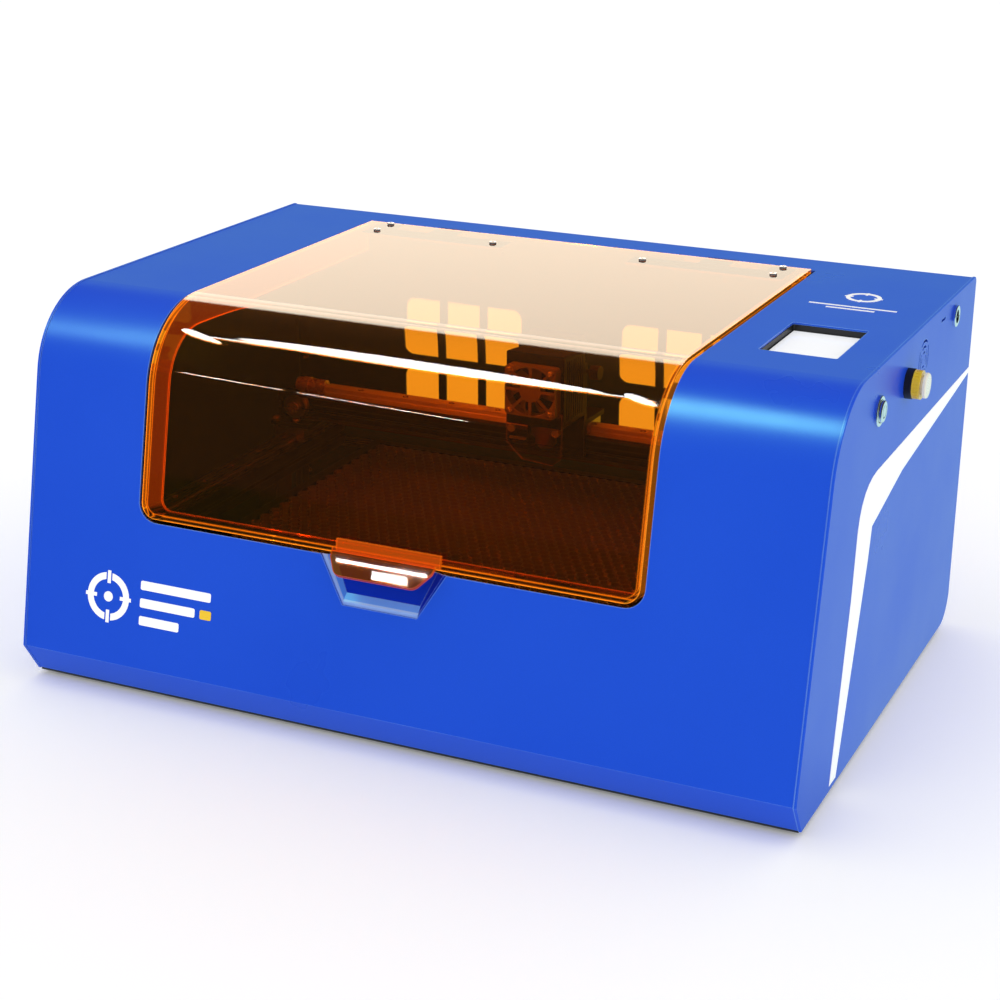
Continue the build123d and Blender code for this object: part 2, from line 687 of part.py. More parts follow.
with BuildPart() as shaft_coupling:
    add(disc(facing_right(SHAFT_RIGHT - 10, SHAFT_Y, SHAFT_Z), 9, 10, SHAFT_R))
    add(disc(facing_right(SHAFT_RIGHT, SHAFT_Y, SHAFT_Z), 9, 10, 2.5))

with BuildPart() as y_belts:
    for belt_x in BELT_XS:
        middle = facing_right(belt_x, (SHAFT_Y + FRONT_SHAFT_Y) / 2, SHAFT_Z)
        add(belt_loop(middle, SHAFT_Y - FRONT_SHAFT_Y, -BELT_W / 2))

BEARING_XS = (MID_X - 266.0, MID_X + 170.0)
BEARING_W = 6.0

with BuildPart() as shaft_brackets:
    for bearing_x in BEARING_XS:
        for shaft_y in (SHAFT_Y, FRONT_SHAFT_Y):
            low = bearing_x - BEARING_W / 2
            with BuildSketch(facing_right(low, shaft_y, SHAFT_Z)) as bracket:
                Circle(9)
                with Locations((0, -(SHAFT_Z - BASE_Z) / 2)):
                    Rectangle(12, SHAFT_Z - BASE_Z)
                Circle(SHAFT_R + PIN_CLEARANCE, mode=Mode.SUBTRACT)
            extrude(amount=BEARING_W)

MOTOR_LEFT = SHAFT_RIGHT + 12.0


def stepper(plane, length):
    """Square stepper motor whose mounting face lies on plane and whose body is behind it."""
    with BuildPart() as motor:
        with BuildSketch(plane):
            RectangleRounded(MOTOR, MOTOR, 4)
        extrude(amount=-MOTOR_CAP)
        with BuildSketch(plane.offset(-MOTOR_CAP)):
            RectangleRounded(MOTOR - 1, MOTOR - 1, 8)
        extrude(amount=2 * MOTOR_CAP - length)
        with BuildSketch(plane.offset(MOTOR_CAP - length)):
            RectangleRounded(MOTOR, MOTOR, 4)
        extrude(amount=-MOTOR_CAP)
    return motor.part


with BuildPart() as y_motor:
    motor_plane = Plane(origin=(MOTOR_LEFT, SHAFT_Y, SHAFT_Z), x_dir=(0, -1, 0), z_dir=(-1, 0, 0))
    add(stepper(motor_plane, 34))
    # foot that carries the motor on the floor pan
    with Locations((MOTOR_LEFT + 17, SHAFT_Y - 8, (BASE_Z + SHAFT_Z - MOTOR / 2) / 2)):
        Box(30, 22, SHAFT_Z - MOTOR / 2 - BASE_Z)
    # its round shaft ends inside the coupling
    with BuildSketch(motor_plane):
        Circle(2.4)
    extrude(amount=8)

# ---------------------------------------------------------------- gantry
with BuildPart() as x_beam:
    add(extrusion_bar(facing_right(BEAM_LEFT, BEAM_Y, BEAM_Z), BEAM_RIGHT - BEAM_LEFT))
    with Locations((X_PULLEY_XS[1], BEAM_Y, X_PULLEY_Z)):
        Cylinder(3.2, 30, rotation=(90, 0, 0), mode=Mode.SUBTRACT)

PLATE_Z = BEAM_Z - BEAM / 2
BLOCK_FRONT, BLOCK_REAR = 84.0, 118.0

with BuildPart() as rail_blocks:
    for rail_x in RAIL_XS:
        with BuildSketch(facing_front(rail_x, BLOCK_REAR, 0)):
            with Locations((0, RAIL_Z + 7.8)):
                Rectangle(27, 10.4)
            with Locations((0, RAIL_Z + 4)):
                Rectangle(12.6, 8.6, mode=Mode.SUBTRACT)
        extrude(amount=BLOCK_REAR - BLOCK_FRONT)

JAW_GAP = 0.4
BELT_TOP = SHAFT_Z + PULLEY_R + BELT_T

with BuildPart() as end_plates:
    for rail_x, side in zip(RAIL_XS, RAIL_SIDES):
        with Locations((rail_x, (BLOCK_FRONT + BLOCK_REAR) / 2, PLATE_Z - 2)):
            Box(34, BLOCK_REAR - BLOCK_FRONT, 4)
        # arm down to the belt, with a jaw over and under its upper run
        arm_x = rail_x + side * 16
        with Locations((arm_x, BEAM_Y - 6, (PLATE_Z - 2 + SHAFT_Z) / 2)):
            Box(2, 20, PLATE_Z - 2 - SHAFT_Z)
        jaw_x = rail_x + side * BELT_OFFSET
        jaw_centre = (jaw_x - side * 0.75, BEAM_Y - 6)
        with Locations((*jaw_centre, BELT_TOP + JAW_GAP + 1.5)):
            Box(10.5, 20, 3)
        with Locations((*jaw_centre, BELT_TOP - BELT_T - JAW_GAP - 1.0)):
            Box(10.5, 20, 2)

with BuildPart() as x_rail:
    with BuildSketch(facing_right(X_RAIL_LEFT, BEAM_Y, X_RAIL_Z)):
        with Locations((0, 4)):
            Rectangle(12, 8)
        with Locations((-6, 5), (6, 5)):
            Circle(1.2, mode=Mode.SUBTRACT)
    extrude(amount=X_RAIL_RIGHT - X_RAIL_LEFT)

with BuildPart() as travel_bumpers:
    for bumper_x in (X_RAIL_LEFT - 26, X_RAIL_RIGHT + 1):
        add(disc(facing_right(bumper_x, BEAM_Y, X_RAIL_Z + 6.2), 6, 25))
        add(disc(facing_right(bumper_x + 5, BEAM_Y, X_RAIL_Z + 6.2), 6.8, 6))
        with Locations((bumper_x + 12.5, BEAM_Y, X_RAIL_Z + 2)):
            Box(20, 8, 4)

with BuildPart() as x_motor:
    motor_face = facing_front(X_PULLEY_XS[1], BEAM_Y + BEAM / 2 + 1.5, X_PULLEY_Z)
    add(stepper(motor_face, 22))
    with BuildSketch(motor_face):
        Circle(11)
    extrude(amount=1.4)

with BuildPart() as x_pulley:
    add(toothed_pulley(facing_front(X_PULLEY_XS[1], X_PULLEY_Y + 4, X_PULLEY_Z), 2.0))
    add(disc(facing_front(X_PULLEY_XS[1], BEAM_Y + 9, X_PULLEY_Z), 2.0, 25))

with BuildPart() as x_idler:
    add(toothed_pulley(facing_front(X_PULLEY_XS[0], X_PULLEY_Y + 4, X_PULLEY_Z), 2.55))

with BuildPart() as idler_axle:
    add(disc(facing_front(X_PULLEY_XS[0], BEAM_Y - BEAM / 2, X_PULLEY_Z), 2.5, 10.5))
    add(disc(facing_front(X_PULLEY_XS[0], X_PULLEY_Y - 4.9, X_PULLEY_Z), 4.5, 2))

with BuildPart() as x_belt:
    belt_middle = facing_front(sum(X_PULLEY_XS) / 2, X_PULLEY_Y, X_PULLEY_Z)
    add(belt_loop(belt_middle, X_PULLEY_XS[1] - X_PULLEY_XS[0], -BELT_W / 2))

# ---------------------------------------------------------------- laser head
CARRIAGE_TOP = X_RAIL_Z + 14.0

with BuildPart() as carriage_block:
    with BuildSketch(facing_right(HEAD_X - 20, BEAM_Y, X_RAIL_Z)):
        with Locations((0, 8.4)):
            Rectangle(27, 11.2)
        with Locations((0, 4)):
            Rectangle(12.6, 8.6, mode=Mode.SUBTRACT)
    extrude(amount=40)

with BuildPart() as carriage_plate:
    with Locations((HEAD_X, (80 + BEAM_Y + 13) / 2, CARRIAGE_TOP + PLATE_T / 2)):
        Box(46, BEAM_Y + 13 - 80, PLATE_T)
    with Locations((HEAD_X, 80 + PLATE_T / 2, 171)):
        Box(46, PLATE_T, 78)
    # belt clamp behind the plate
    with Locations((HEAD_X, 88.6, (X_PULLEY_Z + 10.2 + CARRIAGE_TOP) / 2)):
        Box(16, 9.2, CARRIAGE_TOP - X_PULLEY_Z - 10.2)

with BuildPart() as laser_module:
    with Locations((HEAD_X, (HEAD_FRONT + HEAD_BACK) / 2, HEAD_Z)):
        Box(HEAD_W, HEAD_BACK - HEAD_FRONT, HEAD_H)
    fillet(laser_module.edges().filter_by(Axis.Y), 2.5)
    # cooling fins along both flanks
    for flank in (-1, 1):
        with Locations((HEAD_X + flank * HEAD_W / 2, (HEAD_FRONT + HEAD_BACK) / 2, HEAD_Z)):
            with GridLocations(0, 4.2, 1, 8):
                Box(12, 2.2, HEAD_H - 10, mode=Mode.SUBTRACT)

head_fan_plane = facing_front(HEAD_X, HEAD_FRONT, HEAD_Z)

with BuildPart() as head_fan_frame:
    add(fan_frame(head_fan_plane, HEAD_FAN, HEAD_BORE, 10, 1.4, 8.5, 8))

with BuildPart() as head_fan_rotor:
    add(fan_rotor(head_fan_plane.offset(1.2), 8.0, HEAD_BORE - 0.8, 6.6, 7))

NOZZLE_TOP = HEAD_Z - HEAD_H / 2
NOZZLE_Y = 62.0

with BuildPart() as nozzle:
    with BuildSketch(Plane(origin=(HEAD_X, NOZZLE_Y, NOZZLE_TOP), z_dir=(0, 0, -1))):
        Circle(11)
        Circle(3, mode=Mode.SUBTRACT)
    extrude(amount=12)
    with BuildSketch(Plane(origin=(HEAD_X, NOZZLE_Y, NOZZLE_TOP - 12), z_dir=(0, 0, -1))):
        Circle(8)
        Circle(3, mode=Mode.SUBTRACT)
    extrude(amount=10)
    chamfer(nozzle.edges().filter_by(GeomType.CIRCLE).group_by(Axis.Z)[0].sort_by(SortBy.LENGTH)[-1], 3)

with BuildPart() as nozzle_shield:
    with BuildSketch(facing_front(HEAD_X, HEAD_FRONT - 0.2, HEAD_Z)):
        with BuildLine():
            Polyline((-22, -18), (-22, -44), (-9, -56), (15, -58), (22, -52), (22, -18), close=True)
        make_face()
        Rectangle(HEAD_FAN + 0.6, HEAD_FAN + 0.6, mode=Mode.SUBTRACT)
        with Locations((-17.5, -33), (17.5, -33)):
            Circle(1.6, mode=Mode.SUBTRACT)
    extrude(amount=2)

with BuildPart() as shield_screws:
    for screw_x in (-17.5, 17.5):
        screw_plane = facing_front(HEAD_X + screw_x, HEAD_FRONT - 2.2, HEAD_Z - 33)
        add(disc(screw_plane, 3.0, 1.6, 1.2))
        add(disc(screw_plane.offset(-2.0), 1.5, 3.0))

with BuildPart() as focus_knob:
    add(disc(facing_right(HEAD_X + 23.2, 82, HEAD_Z + 8), 1.9, 4))
    with BuildSketch(facing_right(HEAD_X + 27.2, 82, HEAD_Z + 8)):
        Circle(6.5)
        with PolarLocations(6.8, 16):
            Circle(0.8, mode=Mode.SUBTRACT)
    extrude(amount=7)

# ---------------------------------------------------------------- lid
def lid_prism(width, low, corner):
    """Everything above a line on the front, width across, with two rounded lower corners."""
    with BuildPart() as prism:
        with BuildSketch(front_plane(-40)) as window:
            with Locations((LID_X, (low + 420) / 2)):
                Rectangle(width, 420 - low)
            fillet(window.vertices().group_by(Axis.Y)[0], corner)
        extrude(amount=-640)
    return prism.part


def lid_block(inset):
    """Solid block, a little wider than the lid, with the casing's side outline moved in by inset."""
    outline = casing_outline(inset)
    with BuildPart() as solid:
        with BuildSketch(Plane.YZ.offset(LID_X - LID_WIDTH / 2 - 1)):
            add(outline)
        extrude(amount=LID_WIDTH + 2)
    return solid.part


LEAF_Z = TOP_Z - (LID_T - LID_PROUD)  # underside of the lid, where the hinge leaves lie
LID_CAVITY = lid_prism(LID_WIDTH - 2 * LID_T, LID_S + LID_T, LID_CORNER - LID_T)
LID_HOLLOW = lid_block(LID_T - LID_PROUD) & LID_CAVITY
LID_DEEP = lid_block(LID_T - LID_PROUD + LID_FLANGE)
LID_SCREWS = [(MID_X + x, SCREW_ROW_Y) for x in (-172.0, -72.0, 50.5, 152.0)]
LID_SCREWS += [(MID_X + x, SCREW_REAR_Y) for x in (-172.3, 152.0)]

with BuildPart() as lid_cover:
    add(lid_block(-LID_PROUD))
    add(lid_prism(LID_WIDTH, LID_S, LID_CORNER), mode=Mode.INTERSECT)
    with Locations((LID_X, LID_REAR_Y + 100, TOP_Z - 150)):
        Box(LID_WIDTH + 10, 200, 400, mode=Mode.SUBTRACT)
    add(LID_HOLLOW, mode=Mode.SUBTRACT)
    add(LID_DEEP, mode=Mode.SUBTRACT)
    # the side walls stop short of the rear edge, so that they clear the casing when the lid is up
    with Locations((LID_X, LID_REAR_Y, LEAF_Z - LID_FLANGE)):
        Box(LID_WIDTH + 10, 2 * LID_WALL_RELIEF, 2 * LID_FLANGE, mode=Mode.SUBTRACT)
    with BuildSketch(Plane.XY.offset(TOP_Z + 5)):
        with Locations(*LID_SCREWS):
            Circle(SCREW_HOLE_R + 0.1)
    extrude(amount=-10, mode=Mode.SUBTRACT)

HANDLE_X = MID_X - 1.0
LIP_TILT = 40.0

with BuildPart() as lid_handle:
    with BuildSketch(front_plane(-LID_PROUD)):
        with Locations((HANDLE_X - 1, LID_S + 5.5)):
            Rectangle(76, 9)
    extrude(amount=2.5)
    lip_root = front_plane(-LID_PROUD).offset(1.25)
    lip_plane = Plane(
        origin=lip_root.from_local_coords((HANDLE_X - 3.7, LID_S + 2.2, 0.4)),
        x_dir=(1, 0, 0),
        z_dir=lip_root.z_dir.rotate(Axis.X, -LIP_TILT),
    )
    with BuildSketch(lip_plane) as lip:
        with BuildLine():
            Polyline((-38, 1), (-37, -6), (-29, -19), (29, -19), (37, -6), (38, 1), close=True)
        make_face()
        fillet(lip.vertices().group_by(Axis.Y)[0], 7)
    extrude(amount=1.25, both=True)

with BuildPart() as lid_hinge_leaves:
    for hinge_x, corner_x in zip(HINGE_XS, (-50.3, 51.0)):
        with BuildSketch(Plane.XY.offset(LEAF_Z)):
            with Locations((hinge_x, 132)):
                Rectangle(LEAF_LENGTH, 22)
            with Locations((hinge_x, 147)):
                Rectangle(LID_KNUCKLE, 24)
            with Locations((hinge_x + corner_x, 147)):
                Rectangle(19, 22)
            with Locations(*LID_SCREWS):
                Circle(SCREW_HOLE_R, mode=Mode.SUBTRACT)
        extrude(amount=-LEAF_T)
        with BuildSketch(Plane.YZ.offset(hinge_x - LID_KNUCKLE / 2)):
            with Locations((HINGE_Y, HINGE_Z)):
                Circle(BARREL_R)
                Polygon((-12, 4.5), (-7, 4.5), (-1, 2.2), (-1, -1.8), (-7, 3), (-12, 3), align=None)
                Circle(PIN_R + PIN_CLEARANCE, mode=Mode.SUBTRACT)
        extrude(amount=LID_KNUCKLE)

KNUCKLE_GAP = 0.4

with BuildPart() as body_hinge_leaves:
    for hinge_x in HINGE_XS:
        for side in (-1, 1):
            start = hinge_x + side * (LID_KNUCKLE / 2 + KNUCKLE_GAP)
            with BuildSketch(Plane.YZ.offset(start)):
                with Locations((HINGE_Y, HINGE_Z)):
                    Circle(BARREL_R)
                    Polygon((1, 2.2), (5, 4.5), (24, 4.5), (24, 3), (7, 3), (1, -1.8), align=None)
                    Circle(PIN_R, mode=Mode.SUBTRACT)
            extrude(amount=side * BODY_KNUCKLE)
        with BuildSketch(Plane.XY.offset(TOP_Z - SKIN)):
            with Locations((hinge_x, HINGE_Y + 17)):
                Rectangle(LID_KNUCKLE + 2 * BODY_KNUCKLE, 14)
        extrude(amount=-LEAF_T)

with BuildPart() as hinge_pins:
    pin_half = LID_KNUCKLE / 2 + KNUCKLE_GAP + BODY_KNUCKLE
    for hinge_x in HINGE_XS:
        add(disc(facing_right(hinge_x - pin_half, HINGE_Y, HINGE_Z), PIN_R, 2 * pin_half))

with BuildPart() as lid_screws:
    for screw_x, screw_y in LID_SCREWS:
        with Locations((screw_x, screw_y, TOP_Z + LID_PROUD)):
            Cylinder(2.8, 1.5, align=(Align.CENTER, Align.CENTER, Align.MIN))
            Cylinder(1.45, 6.5, align=(Align.CENTER, Align.CENTER, Align.MAX))
        with BuildSketch(Plane.XY.offset(TOP_Z + LID_PROUD + 1.5)):
            with Locations((screw_x, screw_y)):
                RegularPolygon(1.3, 6)
        extrude(amount=-1.0, mode=Mode.SUBTRACT)
    fillet(lid_screws.edges().filter_by(GeomType.CIRCLE).group_by(Axis.Z)[-1], 0.6)

# ---------------------------------------------------------------- one file for each piece
PIECES = {
    "base_pan": base_pan,
    "front_top_shell": front_top_shell,
    "left_side_panel": left_side_panel,
    "right_side_panel": right_side_panel,
    "rear_panel": rear_panel,
    "finger_pocket": finger_pocket,
    "bay_wall": bay_wall,
    "casing_screws": casing_screws,
    "rubber_feet": rubber_feet,
    "printed_marks": printed_marks,
    "screen_bezel": screen_bezel,
    "touch_screen": touch_screen,
    "power_button_bezel": power_button_bezel,
    "power_button": power_button,
    "stop_switch_base": stop_switch_base,
    "stop_switch_collar": stop_switch_collar,
    "stop_button": stop_button,
    "power_inlet": power_inlet,
    "control_board": control_board,
    "exhaust_fan_frame": exhaust_fan_frame,
    "exhaust_fan_rotor": exhaust_fan_rotor,
    "exhaust_flange": exhaust_flange,
    "bed_frame": bed_frame,
    "honeycomb_core": honeycomb_core,
    "frame_supports": frame_supports,
    "rail_beams": rail_beams,
    "y_rails": y_rails,
    "y_shaft": y_shaft,
    "y_pulleys": y_pulleys,
    "shaft_coupling": shaft_coupling,
    "front_shaft": front_shaft,
    "front_pulleys": front_pulleys,
    "shaft_brackets": shaft_brackets,
    "y_belts": y_belts,
    "y_motor": y_motor,
    "x_beam": x_beam,
    "rail_blocks": rail_blocks,
    "end_plates": end_plates,
    "x_rail": x_rail,
    "travel_bumpers": travel_bumpers,
    "x_motor": x_motor,
    "x_pulley": x_pulley,
    "x_idler": x_idler,
    "idler_axle": idler_axle,
    "x_belt": x_belt,
    "carriage_block": carriage_block,
    "carriage_plate": carriage_plate,
    "laser_module": laser_module,
    "head_fan_frame": head_fan_frame,
    "head_fan_rotor": head_fan_rotor,
    "nozzle": nozzle,
    "nozzle_shield": nozzle_shield,
    "shield_screws": shield_screws,
    "focus_knob": focus_knob,
    "lid_cover": lid_cover,
    "lid_handle": lid_handle,
    "lid_hinge_leaves": lid_hinge_leaves,
    "body_hinge_leaves": body_hinge_leaves,
    "hinge_pins": hinge_pins,
    "lid_screws": lid_screws,
}

for node, piece in PIECES.items():
    piece.part.label = node
    export_step(piece.part, f"parts/{node}.step")
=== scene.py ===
from math import cos, pi, radians, sin, sqrt, tan

import bmesh
import bpy
from mathutils import Matrix, Vector


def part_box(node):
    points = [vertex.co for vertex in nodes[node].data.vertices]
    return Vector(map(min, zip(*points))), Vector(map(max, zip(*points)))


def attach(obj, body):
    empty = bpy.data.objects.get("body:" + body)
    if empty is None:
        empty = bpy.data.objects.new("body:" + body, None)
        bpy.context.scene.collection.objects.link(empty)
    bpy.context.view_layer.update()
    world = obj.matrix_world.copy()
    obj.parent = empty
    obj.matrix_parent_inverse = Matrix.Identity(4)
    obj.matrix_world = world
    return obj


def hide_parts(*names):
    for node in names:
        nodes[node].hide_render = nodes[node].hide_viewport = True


# Looks of the desktop laser cutter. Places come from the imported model, in metres: +X to the
# right, +Y to the rear, +Z up, with the machine standing on z = 0.

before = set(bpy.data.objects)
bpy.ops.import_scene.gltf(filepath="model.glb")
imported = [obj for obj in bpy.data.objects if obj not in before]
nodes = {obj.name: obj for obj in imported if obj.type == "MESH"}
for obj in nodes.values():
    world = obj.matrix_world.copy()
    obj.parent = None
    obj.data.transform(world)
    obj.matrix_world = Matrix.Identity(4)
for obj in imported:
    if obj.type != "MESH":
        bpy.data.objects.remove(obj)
scene = bpy.context.scene
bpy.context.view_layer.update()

MM = 0.001

# plane of the sloping front: a point at its foot, the way up along it and the way out of it
FRONT_LEAN = 0.187
FRONT_FOOT = Vector((0, -200.0 * MM, 28.0 * MM))
front_up = Vector((0, FRONT_LEAN, 1)).normalized()
front_out = Vector((0, -1, FRONT_LEAN)).normalized()


# ------------------------------------------------------------------ node helpers
def new_material(name):
    """Material with its tree, its shader and the object coordinates, which follow the body."""
    material = bpy.data.materials.new(name)
    material.use_nodes = True
    tree = material.node_tree
    shader = tree.nodes["Principled BSDF"]
    coords = tree.nodes.new("ShaderNodeTexCoord").outputs["Object"]
    return material, tree, shader, coords


def plug(shader, socket, value):
    """Feeds a socket of the shader from the output of another node."""
    shader.id_data.links.new(value, shader.inputs[socket])


def stretched(tree, coords, scale):
    """Coordinates scaled apart along X, Y and Z, for grain that runs one way."""
    mapping = tree.nodes.new("ShaderNodeMapping")
    mapping.inputs["Scale"].default_value = scale
    tree.links.new(coords, mapping.inputs["Vector"])
    return mapping.outputs["Vector"]


def noise(tree, coords, scale, detail):
    """Cloudy value between 0 and 1, whose features are about 1 / scale metres wide."""
    texture = tree.nodes.new("ShaderNodeTexNoise")
    texture.inputs["Scale"].default_value = scale
    texture.inputs["Detail"].default_value = detail
    tree.links.new(coords, texture.inputs["Vector"])
    return texture.outputs["Fac"]


def mapped(tree, value, low, high, new_low, new_high):
    """Value moved from the range low to high into another range, clamped at both ends."""
    node = tree.nodes.new("ShaderNodeMapRange")
    tree.links.new(value, node.inputs["Value"])
    sockets = ("From Min", "From Max", "To Min", "To Max")
    for socket, number in zip(sockets, (low, high, new_low, new_high)):
        node.inputs[socket].default_value = number
    return node.outputs["Result"]


def blended(tree, factor, first, second):
    """Colour between first and second. Each is a colour or the output of another node."""
    node = tree.nodes.new("ShaderNodeMix")
    node.data_type = "RGBA"
    tree.links.new(factor, node.inputs[0])
    for socket, colour in zip((node.inputs[6], node.inputs[7]), (first, second)):
        if isinstance(colour, tuple):
            socket.default_value = (*colour, 1.0)
        else:
            tree.links.new(colour, socket)
    return node.outputs[2]


def arithmetic(tree, operation, first, second):
    """Math node. Each operand is a number or the output of another node."""
    node = tree.nodes.new("ShaderNodeMath")
    node.operation = operation
    for socket, value in zip(node.inputs, (first, second)):
        if isinstance(value, (int, float)):
            socket.default_value = value
        else:
            tree.links.new(value, socket)
    return node.outputs["Value"]


def dot_product(tree, first, second):
    """Dot product of an output with a fixed direction or with another output."""
    node = tree.nodes.new("ShaderNodeVectorMath")
    node.operation = "DOT_PRODUCT"
    tree.links.new(first, node.inputs[0])
    if isinstance(second, bpy.types.NodeSocket):
        tree.links.new(second, node.inputs[1])
    else:
        node.inputs[1].default_value = second
    return node.outputs["Value"]


def mix_shader(tree, factor, first, second):
    """Sends a mix of two shaders to the tree's output."""
    mix = tree.nodes.new("ShaderNodeMixShader")
    for value, socket in zip((factor, first, second), mix.inputs):
        tree.links.new(value, socket)
    tree.links.new(mix.outputs["Shader"], tree.nodes["Material Output"].inputs["Surface"])


def bumped(tree, shader, height, distance, strength):
    """Bumps distance metres high where height is 1."""
    bump = tree.nodes.new("ShaderNodeBump")
    bump.inputs["Strength"].default_value = strength
    bump.inputs["Distance"].default_value = distance
    tree.links.new(height, bump.inputs["Height"])
    plug(shader, "Normal", bump.outputs["Normal"])


# cosine between the true normal and one rounded over the edge's radius
OPEN_COSINE, PAINT_COSINE, CLEAR_COSINE = 0.985, 0.8, 0.72


def edge_mask(tree, radius, full_cosine=PAINT_COSINE):
    """1 within radius of an edge and 0 on the open surface."""
    bevel = tree.nodes.new("ShaderNodeBevel")
    bevel.samples = 6
    bevel.inputs["Radius"].default_value = radius
    surface = tree.nodes.new("ShaderNodeNewGeometry")
    cosine = dot_product(tree, bevel.outputs["Normal"], surface.outputs["Normal"])
    return mapped(tree, cosine, OPEN_COSINE, full_cosine, 0.0, 1.0)


def scaled(colour, factor):
    return tuple(min(1.0, channel * factor) for channel in colour)


# ------------------------------------------------------------------ materials
PAINT_EDGE, METAL_EDGE = 1.2 * MM, 0.5 * MM
BARE_METAL = (0.42, 0.42, 0.44)


def powder_coat(name, colour, worn, roughness, specular=0.3, tint=(1.0, 1.0, 1.0)):
    """Satin powder coat: a fine grain, faint mottling and edges painted a little lighter, which stands for
    wear and, on the blue casing and pocket, also for a painted edge highlight.
    """
    material, tree, shader, coords = new_material(name)
    mottle = noise(tree, coords, 9.0, 4.0)
    grain = noise(tree, coords, 1500.0, 2.0)
    base = blended(tree, mottle, scaled(colour, 0.95), scaled(colour, 1.05))
    base = blended(tree, mapped(tree, grain, 0.35, 0.7, 0.0, 0.14), base, scaled(colour, 1.35))
    patchy = mapped(tree, mottle, 0.3, 0.6, 0.4, 0.85)
    # lighter edges: wear, and on the blue casing and pocket a painted edge highlight as well
    worn_and_lit_edges = arithmetic(tree, "MULTIPLY", edge_mask(tree, PAINT_EDGE), patchy)
    base = blended(tree, worn_and_lit_edges, base, worn)
    plug(shader, "Base Color", base)
    plug(shader, "Roughness", mapped(tree, mottle, 0.3, 0.7, roughness - 0.03, roughness + 0.04))
    shader.inputs["Specular IOR Level"].default_value = specular
    shader.inputs["Specular Tint"].default_value = (*tint, 1.0)
    bumped(tree, shader, grain, 0.00006, 0.5)
    return material


# the pocket's faces that turn this way get a paler colour as painted light, and its rim lies this far behind
# the front
POCKET_LIT_SIDE = (0.45, 0.0, 0.9)
POCKET_RIM_DEPTH, POCKET_RIM_SOFTNESS = 2.4 * MM, 0.3 * MM
POCKET_RIM_REACH = 27.0 * MM


def pocket_coat(name, painted_shade_colour, worn, painted_lit_colour, rim, roughness, specular, tint):
    """Powder coat of the finger pocket with painted light: painted shade darkens its back, its floor and
    left wall are painted pale as if lit, and a painted highlight runs along the left and lower parts of its
    rim."""
    material = powder_coat(name, painted_shade_colour, worn, roughness, specular, tint)
    tree = material.node_tree
    paint = tree.nodes["Principled BSDF"].inputs["Base Color"]
    surface = tree.nodes.new("ShaderNodeNewGeometry")
    # painted light: faces turned towards POCKET_LIT_SIDE take the pale lit colour, the rest the darker
    # painted shade
    lit = mapped(tree, dot_product(tree, surface.outputs["Normal"], POCKET_LIT_SIDE), 0.35, 0.6, 0.0, 1.0)
    base = blended(tree, lit, paint.links[0].from_socket, painted_lit_colour)
    # painted highlight: a bright line on the rim, near the front and left of end
    low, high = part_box("finger_pocket")
    end = (low.x + high.x) / 2 + POCKET_RIM_REACH
    start = FRONT_FOOT.dot(front_out) - POCKET_RIM_DEPTH
    outward = dot_product(tree, surface.outputs["Position"], front_out)
    near = mapped(tree, outward, start, start + POCKET_RIM_SOFTNESS, 0.0, 1.0)
    rightward = dot_product(tree, surface.outputs["Position"], (1.0, 0.0, 0.0))
    leftward = mapped(tree, rightward, end, end + MM, 1.0, 0.0)
    base = blended(tree, arithmetic(tree, "MULTIPLY", near, leftward), base, rim)
    tree.links.new(base, paint)
    return material


GRAIN_LENGTHWISE, GRAIN_ACROSS = 60.0, 3200.0


def ground_metal(name, colour, along, roughness=0.28, metallic=1.0):
    """Bright metal with a fine grain that runs along one axis."""
    material, tree, shader, coords = new_material(name)
    scale = tuple(GRAIN_LENGTHWISE if axis == along else GRAIN_ACROSS for axis in "XYZ")
    lines = noise(tree, stretched(tree, coords, scale), 1.0, 3.0)
    stain = noise(tree, coords, 22.0, 4.0)
    base = blended(tree, lines, scaled(colour, 0.86), scaled(colour, 1.08))
    base = blended(tree, mapped(tree, stain, 0.45, 0.75, 0.0, 0.25), base, scaled(colour, 0.7))
    plug(shader, "Base Color", base)
    plug(shader, "Roughness", mapped(tree, lines, 0.3, 0.7, roughness - 0.07, roughness + 0.1))
    shader.inputs["Metallic"].default_value = metallic
    bumped(tree, shader, lines, 0.00004, 0.5)
    return material


def anodised(name, colour, roughness):
    """Bead-blasted and anodised aluminium with edges that show a little bare metal."""
    material, tree, shader, coords = new_material(name)
    blast = noise(tree, coords, 2600.0, 2.0)
    cloud = noise(tree, coords, 14.0, 4.0)
    base = blended(tree, cloud, scaled(colour, 0.85), scaled(colour, 1.2))
    patchy = mapped(tree, cloud, 0.35, 0.65, 0.1, 0.6)
    worn = arithmetic(tree, "MULTIPLY", edge_mask(tree, METAL_EDGE), patchy)
    base = blended(tree, worn, base, BARE_METAL)
    plug(shader, "Base Color", base)
    plug(shader, "Roughness", mapped(tree, blast, 0.3, 0.7, roughness - 0.05, roughness + 0.08))
    shader.inputs["Metallic"].default_value = 0.75
    bumped(tree, shader, blast, 0.00004, 0.4)
    return material


def moulded(name, colour, roughness=0.42, coat=0.0):
    """Moulded plastic with a spark-eroded grain."""
    material, tree, shader, coords = new_material(name)
    grain = noise(tree, coords, 1900.0, 2.0)
    cloud = noise(tree, coords, 30.0, 3.0)
    plug(shader, "Base Color", blended(tree, cloud, scaled(colour, 0.9), scaled(colour, 1.1)))
    plug(shader, "Roughness", mapped(tree, grain, 0.3, 0.7, roughness - 0.06, roughness + 0.08))
    shader.inputs["Coat Weight"].default_value = coat
    shader.inputs["Coat Roughness"].default_value = 0.06
    bumped(tree, shader, grain, 0.00005, 0.5)
    return material


